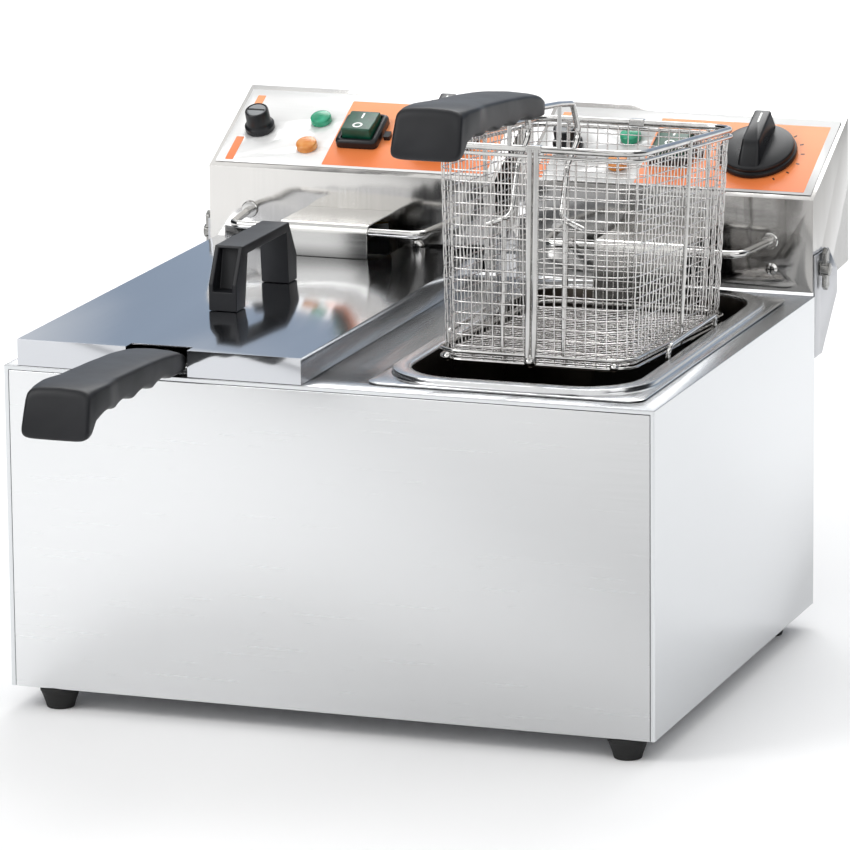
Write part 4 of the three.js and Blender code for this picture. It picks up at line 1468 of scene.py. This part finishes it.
    def rocker(self) -> None:
        """Bezel, green rocker cap with its two white marks, and the small guide beside it."""
        word = self.side.word
        Row.ease(KNOB_PLASTIC, self.bezel_edge, 3, f"{word}_rocker_bezel")
        Row.ease(SWITCH_GREEN, self.rocker_edge, 3, f"{word}_rocker")
        across, up = self.switch
        for mesh, (offset, out, pitch), title in (
            (plate(*self.on_bar, 3), self.on_place, "on_mark"),
            (self.ring(), self.off_place, "off_mark"),
        ):
            turn = Matrix.Rotation(math.radians(pitch), 4, "X")
            mark = painted(moved(mesh, self.panel(across, up + offset, out) @ turn), WHITE_INK)
            Row.addition(f"{word}_rocker_{title}", mark, f"{word}_rocker")
        place = self.panel(across + self.guide_place[0], up + self.guide_place[1])
        guide = painted(moved(plate(*self.guide, 4), place), KNOB_PLASTIC)
        Row.addition(f"{word}_switch_guide", guide, f"{word}_rocker_bezel")

    def ring(self) -> Mesh:
        """The flat ring that marks the rocker's off side."""
        work = bmesh.new()
        angles = [2 * math.pi * i / self.ring_sides for i in range(self.ring_sides)]
        circles = [
            [work.verts.new(Vector((r * math.cos(a), r * math.sin(a), z)) * MM) for a in angles]
            for r, z in self.off_ring
        ]
        for one, two in zip(circles, circles[1:] + circles[:1]):
            for i in range(self.ring_sides):
                j = (i + 1) % self.ring_sides
                work.faces.new((one[i], one[j], two[j], two[i]))
        return mesh_of(work)

    def rod(self, trees: Trees) -> None:
        """The hanging rod, with a pressed flange at each end."""
        node = f"{self.side.word}_hanger_rod"
        middle, wall, z = self.side.value * self.middle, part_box(node)[1][1] / MM, self.rod_z
        left, right = ([
            (middle + s * self.rod_at_wall, wall - self.rod_sunk, z),
            (middle + s * self.rod_at_front, self.rod_front, z),
        ] for s in (-1, 1))
        rod = trees.wire.make([left + right[::-1]], self.rod_mm, self.rod_bend, 20, steps=8)
        turn = Matrix.Rotation(math.pi / 2, 4, "X")
        flanges = [
            painted(moved(turned(self.flange, 32), Matrix.Translation(
                Vector((middle + s * self.rod_at_wall, wall, z)) * MM) @ turn), WIRE_STEEL)
            for s in (-1, 1)
        ]
        Row.stand_in(f"{node}_bent", join([rod, *flanges]), node)

    def wall_screw(self, trees: Trees) -> None:
        """The screw in the head's front wall."""
        node = f"{self.side.word}_wall_screw"
        low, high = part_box(node)
        radius = (high[0] - low[0]) / 2
        spot = (low[0] + radius, low[1] + self.head_share * radius, low[2] + radius)
        Row.stand_in(f"{node}_pan_head", trees.screws.make([spot], math.pi / 2, radius / MM), node)

    def cover_screws(self, trees: Trees) -> None:
        """Screws that hold the back cover on, along its top and bottom edges."""
        node = f"{self.side.word}_head_back_cover"
        low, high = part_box(node)
        inset = self.back_screw_inset * MM
        spots = []
        for x in (low[0] + inset, (low[0] + high[0]) / 2, high[0] - inset):
            for t in (0.12, 0.93):
                rise = (high[2] - low[2]) * t
                y = high[1] - (rise - 4 * MM) * math.tan(self.back_lean) + 0.1 * MM
                spots.append((x, y, low[2] + rise))
        mesh = trees.screws.make(spots, self.back_lean - math.pi / 2, self.back_screw_radius)
        Row.addition(f"{self.side.word}_cover_screws", mesh, node)


@dataclass
class Basket:
    """A wire basket: woven tub, frame of thicker wires, and a moulded grip.

    Its own axes: X across, Y back from the front wall, Z up from the floor, in millimetres."""

    side: Side
    tilt: float  # degrees, front up
    bottom_half: float = 65.5
    top_half: float = 70.4
    length: float = 221.0
    front_height: float = 137.5
    rear_height: float = 128.5
    rim_front: float = 140.0
    rim_fall: float = 9.0
    corner: float = 20.0
    pitch: float = 7.2
    weave_mm: float = 0.9
    rim_mm: float = 4.4
    wire_mm: float = 3.0
    hook_mm: float = 4.0
    hook_half: float = 17.0
    stay_half: float = 21.0
    front_half: float = 2.2
    hanger_half: float = 50.0
    foot_z: float = -2.4  # where the stays end, under the bottom hoop
    clip: Point = (11.0, 5.4, 5.2)
    bead: float = 3.0
    front_bead: float = 4.0
    socket: float = 172.5
    grip_end: float = -214.5
    grip_tail: float = -36.0
    grip_step: float = 2.6
    grip_wide: float = 23.6  # half widths at the end, along the grip, and at the tail
    grip_slim: float = 20.6
    grip_narrow: float = 19.6
    flare: Pair = (36.0, 62.0)  # where the end's width starts and stops falling, from the end
    grip_foot: float = 158.65  # height of the drop at the end
    drop: Pair = (7.0, 19.0)  # where the drop starts and stops rising, from the end
    scallop: float = 33.0  # pitch of the finger scallops
    scallop_depth: float = 3.0
    lean_back: float = 8.0  # how far the end face's top lies behind its foot
    narrowing: float = 2.4  # how much narrower the end is at its top, on each side
    square: float = 0.3  # the section's squareness: 1 is an ellipse, 0 a rectangle
    crown: float = 1.6
    end_reach: float = 40.0  # how far from the end its shape dies out
    section_points: int = 40

    def build(self, trees: Trees) -> None:
        """Make the tub, the frame and the grip, where the mesh node's box puts them."""
        word = self.side.word
        low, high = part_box(f"{word}_basket_mesh")
        lean = math.radians(self.tilt)
        z = high[2] - self.front_height * MM * math.cos(lean)
        place = Matrix.Translation(((low[0] + high[0]) / 2, low[1], z)) @ Matrix.Rotation(
            -lean, 4, "X")
        for title, mesh, node in (
            ("weave", self.weave(trees), "mesh"), ("wires", self.frame(trees), "frame"),
            ("handgrip", self.grip(), "grip"),
        ):
            Row.stand_in(f"{word}_basket_{title}", moved(mesh, place), f"{word}_basket_{node}")

    def weave(self, trees: Trees) -> Mesh:
        """The woven wall and floor."""
        around = 2 * (2 * self.bottom_half + self.length) - (8 - 2 * math.pi) * self.corner
        made = trees.tub.run(bpy.data.meshes.new("seed"), {
            "Bottom Width": (2 * self.bottom_half - 1) * MM,
            "Top Width": (2 * self.top_half - 1) * MM,
            "Length": (self.length - 1) * MM, "Corner": self.corner * MM,
            "Front Height": self.front_height * MM, "Rear Height": self.rear_height * MM,
            "Around": 2 * round(around / self.pitch / 2) + 1,
            "Rows": round(self.front_height / self.pitch) + 1,
            "Floor Across": round(2 * self.bottom_half / self.pitch) + 1,
            "Floor Along": round(self.length / self.pitch) + 1,
            "Wire": self.weave_mm * MM, "Finish": MESH_STEEL.material(),
        })
        lift = Matrix.Translation((0, self.length / 2 * MM, 0.5 * MM))
        return painted(moved(outwards(made, 80.0), lift), MESH_STEEL)

    def rim_at(self, y: float) -> float:
        """The rim's height at a depth."""
        return self.rim_front - self.rim_fall * y / self.length

    def hoop(self, half: float, grow: float, height: Callable[[float], float]) -> list[Point]:
        """The four corners of a loop round the tub, level or sloping, for a closed wire."""
        y0, y1 = -grow, self.length + grow
        return [(x, y, height(y)) for x, y in ((half, y0), (half, y1), (-half, y1), (-half, y0))]

    def frame(self, trees: Trees) -> Mesh:
        """Rim, hoops, stays, hooks and the wires that go into the grip."""
        out, thin = self.wire_mm / 2 + 0.4, self.wire_mm - 0.4
        top, bottom, back, foot = self.top_half, self.bottom_half, self.length, self.foot_z
        hoops = [
            self.hoop(top + 1.1, 1.5, lambda y: self.rim_at(y) - 4.6),
            self.hoop(bottom + 1.6, 1.6, lambda y: -1.4),
            self.hoop(bottom + 1.9, 1.9, lambda y: 4.2),
        ]
        sides, half_back = (-1, 1), back / 2
        stays = [[
            (s * self.hanger_half, back + out, self.rim_at(back)),
            (s * self.hanger_half, back + out, foot),
        ] for s in sides] + [[
            (s * (top + out), half_back, self.rim_at(half_back)),
            (s * (bottom + out), half_back, foot),
        ] for s in sides]
        fronts = [[
            (s * self.front_half, -out, self.rim_at(0)), (s * self.front_half, -out, foot),
        ] for s in sides]
        parts = [
            trees.wire.make(
                [self.hoop(top, 0.0, self.rim_at)], self.rim_mm, self.corner, 14, True, 10),
            trees.wire.make(hoops, thin, self.corner, 12, True, 10),
            trees.wire.make(stays, thin, 4.0),
            trees.wire.make(fronts, self.wire_mm + 1.0, 4.0, 14),
            trees.wire.make([self.inner_stay(s) for s in sides], self.wire_mm + 0.2, 3.0),
            trees.wire.make([self.hook(s) for s in sides], self.hook_mm, 9.0, 14, steps=8),
            trees.wire.make([self.post(s) for s in sides], self.wire_mm, 3.0),
            trees.wire.make([self.hanger(s) for s in sides], self.wire_mm, 3.0),
        ]
        return join([*parts, painted(self.clips(), WIRE_STEEL)])

    def hook(self, side: int) -> list[Point]:
        """One of the two wires from the grip over the rim, down and back to the front wall."""
        x, z = side * self.hook_half, self.socket
        return [
            (x, self.grip_tail - 20, z + 1.2), (x, -1, z - 2.2), (x, 27, z - 5), (x, 42, z - 27),
            (x, 18, z - 45), (x, 6, z - 78), (x + side * 16, 4, z - 84),
        ]

    def post(self, side: int) -> list[Point]:
        """A short post from the rim up to the hook wire."""
        x = side * self.hook_half
        return [(x, 0.0, self.socket - 2.2), (x, 0.0, self.rim_at(0))]

    def inner_stay(self, side: int) -> list[Point]:
        """A thin wire inside the front wall, from below the hook wire to the floor."""
        x = side * self.stay_half
        return [(x, 2.6, 92), (x, 2.6, 3), (x, 9, 2.2)]

    def hanger(self, side: int) -> list[Point]:
        """A hook behind the rear wall that goes over the hanging rod."""
        x = side * self.hanger_half
        return [(x, self.length + 1.9, 46.3), (x, 240.6, 46.3), (x, 240.6, 34.0)]

    def clips(self) -> Mesh:
        """Folded sheet clips where the rim's wire meets, and beads on the bottom hoop."""
        work = bmesh.new()
        for y in (0.0, self.length):
            verts = bmesh.ops.create_cube(work, size=1.0)["verts"]
            place = Matrix.Translation((0, y * MM, self.rim_at(y) * MM))
            size = Matrix.Diagonal((*(v * MM for v in self.clip), 1))
            bmesh.ops.transform(work, matrix=place @ size, verts=verts)
        for x, y, radius in (
            (0, -3.4, self.front_bead), (8 - self.bottom_half, -2.6, self.bead),
            (self.bottom_half - 8, -2.6, self.bead), (0, self.length + 2.6, self.bead),
        ):
            place = Matrix.Translation(Vector((x, y, 0.2)) * MM)
            bmesh.ops.create_icosphere(work, subdivisions=2, radius=radius * MM, matrix=place)
        return eased(written(work), 1.2, 4)

    def grip(self) -> Mesh:
        """The moulded grip: a flat end, a crowned back and finger scallops underneath."""
        end, tail = self.grip_end, self.grip_tail
        # each station is a depth and how far the section is drawn in there, to round the ends
        stations = [(end, 2.2), (end + 0.7, 0.9), (end + 2.2, 0.15)]
        stations += [(end + 4 + i * self.grip_step, 0.0) for i in range(66)]
        stations += [(tail - 1.0, 0.3), (tail, 1.2)]
        return painted(mesh_of(loft([
            self.section(
                y, self.grip_half(y) - inset, self.grip_bottom(y) + inset, self.grip_top(y) - inset,
            ) for y, inset in stations
        ]), 50.0), BLACK_PLASTIC)

    def grip_half(self, y: float) -> float:
        """Half the grip's width at a depth."""
        end, tail, slim = self.grip_end, self.grip_tail, self.grip_slim
        start, stop = (end + reach for reach in self.flare)
        if y > stop:
            return slim - (slim - self.grip_narrow) * (y - stop) / (tail - stop)
        t = smooth_step((y - start) / (stop - start))
        return self.grip_wide + (slim - self.grip_wide) * t

    def grip_top(self, y: float) -> float:
        """The height of the grip's crowned back at a depth."""
        end, tail = self.grip_end, self.grip_tail
        return self.socket + curve_through([
            (end, 14.8), (end + 5, 18.2), (end + 20, 18.8), (tail - 106, 17.2), (tail - 49, 14.4),
            (tail - 12, 10.6), (tail, 6.2),
        ], y)

    def grip_bottom(self, y: float) -> float:
        """The height of the grip's underside at a depth, with its scallops."""
        first, tail = self.grip_end + 22, self.grip_tail
        if y < first:
            start, stop = (self.grip_end + reach for reach in self.drop)
            t = smooth_step((y - start) / (stop - start))
            return self.grip_foot * (1 - t) + (self.socket - 4.6) * t
        base = self.socket - 4.0 - 2.4 * (y - first) / (tail - first)
        if y > first + 4 * self.scallop:
            return base
        wave = abs(math.sin(math.pi * (y - first) / self.scallop))
        return base + self.scallop_depth * wave

    def section(self, y: float, half: float, low: float, high: float) -> list[Vector]:
        """One cross-section of the grip: rounded below, crowned above.

        Args:
            y: its depth.
            half: half its width.
            low: the height of its underside.
            high: the height of its back.

        Returns:
            Its points, in metres.
        """
        near_end = max(0.0, 1.0 - (y - self.grip_end) / self.end_reach)
        points = []
        for i in range(self.section_points):
            angle = 2 * math.pi * i / self.section_points
            c, s = math.cos(angle), math.sin(angle)
            x = half * math.copysign(abs(c) ** self.square, c)
            z = (low + high) / 2 + (high - low) / 2 * math.copysign(abs(s) ** self.square, s)
            rise = (z - low) / (high - low)
            flat = self.crown * (x / half) ** 2 * max(s, 0.0)
            points.append(Vector((
                x * (1 - self.narrowing / half * rise * near_end),
                y + self.lean_back * rise * near_end, z - flat,
            )) * MM)
        return points


@dataclass
class Studio:
    """A pale floor, soft light all round, and the camera."""

    eye: Point = (1.38019, -3.79807, 1.12590)
    azimuth: float = 19.75
    elevation: float = 13.23
    roll: float = -0.53
    lens_mm: float = 261.66
    floor_half: float = 14.0
    strength: float = 1.1
    # name, place, size in metres, power in watts, and what it is aimed at
    boxes: Sequence[tuple[str, Point, float, float, Point]] = (
        ("key_left", (-2.2, -2.0, 2.4), 1.6, 40.0, (0.0, 0.0, 0.2)),
        ("fill_right", (2.6, -1.2, 1.8), 1.4, 10.0, (0.0, 0.0, 0.2)),
        ("overhead", (0.2, 0.3, 3.0), 2.2, 16.0, (0.0, 0.0, 0.2)),
        ("backdrop", (-0.6, 3.4, 3.4), 2.6, 105.0, (-0.8, 3.2, 0.0)),
    )
    # how blue-grey the sky is behind the fryer, by height
    band: Sequence[Pair] = ((0.0, 0.0), (0.06, 1.0), (0.3, 1.0), (0.55, 0.25), (0.75, 0.0))
    band_colour: str = "#9aa8ba"
    flag_colour: str = "#26282b"

    def build(self) -> None:
        """Set the scene up."""
        self.floor()
        self.sky()
        self.lights()
        self.camera()
        bpy.context.scene.view_settings.view_transform = "Standard"

    def floor(self) -> None:
        """One large pale sheet of paper."""
        half = self.floor_half
        sheet = [(-half, -half, 0), (half, -half, 0), (half, half, 0), (-half, half, 0)]
        mesh = bpy.data.meshes.new("floor")
        mesh.from_pydata(sheet, [], [(0, 1, 2, 3)])
        floor = plain_object("floor", mesh)
        paper = bpy.data.materials.new("pale_paper")
        paper.use_nodes = True
        fit(paper.node_tree, paper.node_tree.nodes["Principled BSDF"], {
            "Base Color": linear("#fafafa"), "Roughness": 0.9, "Specular IOR Level": 0.1,
        })
        mesh.materials.append(paper)

    def sky(self) -> None:
        """Pale walls, a blue-grey band low behind the fryer, and dark flags aside and overhead."""
        world = bpy.data.worlds.new("studio")
        bpy.context.scene.world = world
        world.use_nodes = True
        tree = world.node_tree
        tree.nodes.clear()
        split = add_node(tree, "ShaderNodeSeparateXYZ", {
            "Vector": add_node(tree, "ShaderNodeTexCoord").outputs["Generated"],
        }).outputs
        behind, aside, overhead = (
            add_node(tree, "ShaderNodeMapRange", {
                "interpolation_type": "SMOOTHSTEP", "From Min": low, "From Max": high,
                "Value": feed,
            }) for low, high, feed in (
                (0.35, 0.8, split["Y"]),
                (0.52, 0.8, add_node(tree, CALC, {"operation": "ABSOLUTE", 0: split["X"]})),
                (0.86, 0.97, split["Z"]),
            )
        )
        height = add_node(tree, "ShaderNodeValToRGB", {"Fac": split["Z"]}, [
            (place, (value, value, value, 1.0)) for place, value in self.band
        ])
        blue = add_node(tree, CALC, {"operation": "MULTIPLY", 0: behind, 1: height})
        flags = add_node(tree, CALC, {"operation": "MAXIMUM", 0: aside, 1: overhead})
        seen = add_node(tree, "ShaderNodeLightPath").outputs["Is Camera Ray"]
        tone: object = WHITE
        for factor, colour in (
            (blue, linear(self.band_colour)), (flags, linear(self.flag_colour)), (seen, WHITE),
        ):
            tone = add_node(tree, "ShaderNodeMix", {
                "data_type": "RGBA", "Factor": factor, 6: tone, 7: colour,
            }).outputs[2]
        light = add_node(tree, "ShaderNodeBackground", {"Strength": self.strength, "Color": tone})
        add_node(tree, "ShaderNodeOutputWorld", {"Surface": light})

    def lights(self) -> None:
        """Soft boxes left, right and overhead, and one that keeps the floor behind pale."""
        for name, place, size, power, target in self.boxes:
            lamp = bpy.data.lights.new(name, "AREA")
            lamp.size, lamp.energy = size, power
            box = bpy.data.objects.new(name, lamp)
            box.location = place
            aim = Vector(target) - Vector(place)
            box.rotation_euler = aim.to_track_quat("-Z", "Y").to_euler()
            bpy.context.scene.collection.objects.link(box)

    def camera(self) -> None:
        """The long-lens view from the front right, a little above."""
        lens = bpy.data.cameras.new("camera")
        lens.lens, lens.sensor_width, lens.clip_end = self.lens_mm, 36.0, 60.0
        camera = bpy.data.objects.new("camera", lens)
        around, above, roll = (math.radians(v) for v in (self.azimuth, self.elevation, self.roll))
        camera.matrix_world = (
            Matrix.Translation(self.eye) @ Matrix.Rotation(around, 4, "Z")
            @ Matrix.Rotation(math.pi / 2 - above, 4, "X") @ Matrix.Rotation(roll, 4, "Z")
        )
        bpy.context.scene.collection.objects.link(camera)
        bpy.context.scene.camera = camera


def main() -> None:
    """Build the fryer from its frame, sub-assembly by sub-assembly."""
    logging.basicConfig(level=logging.INFO, format="%(name)s: %(message)s")
    Row.load()
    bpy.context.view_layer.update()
    Studio().build()
    trees = Trees(BentWire(), WovenTub(), ScrewSet(), DialMarks())
    Casing().build(trees)
    for side in Side:
        Tank(side).build(trees)
        Head(side).build(trees)
    Lid().build()
    Basket(Side.LEFT, 0.0).build(trees)
    Basket(Side.RIGHT, 3.2).build(trees)


if __name__ == "__main__":
    main()
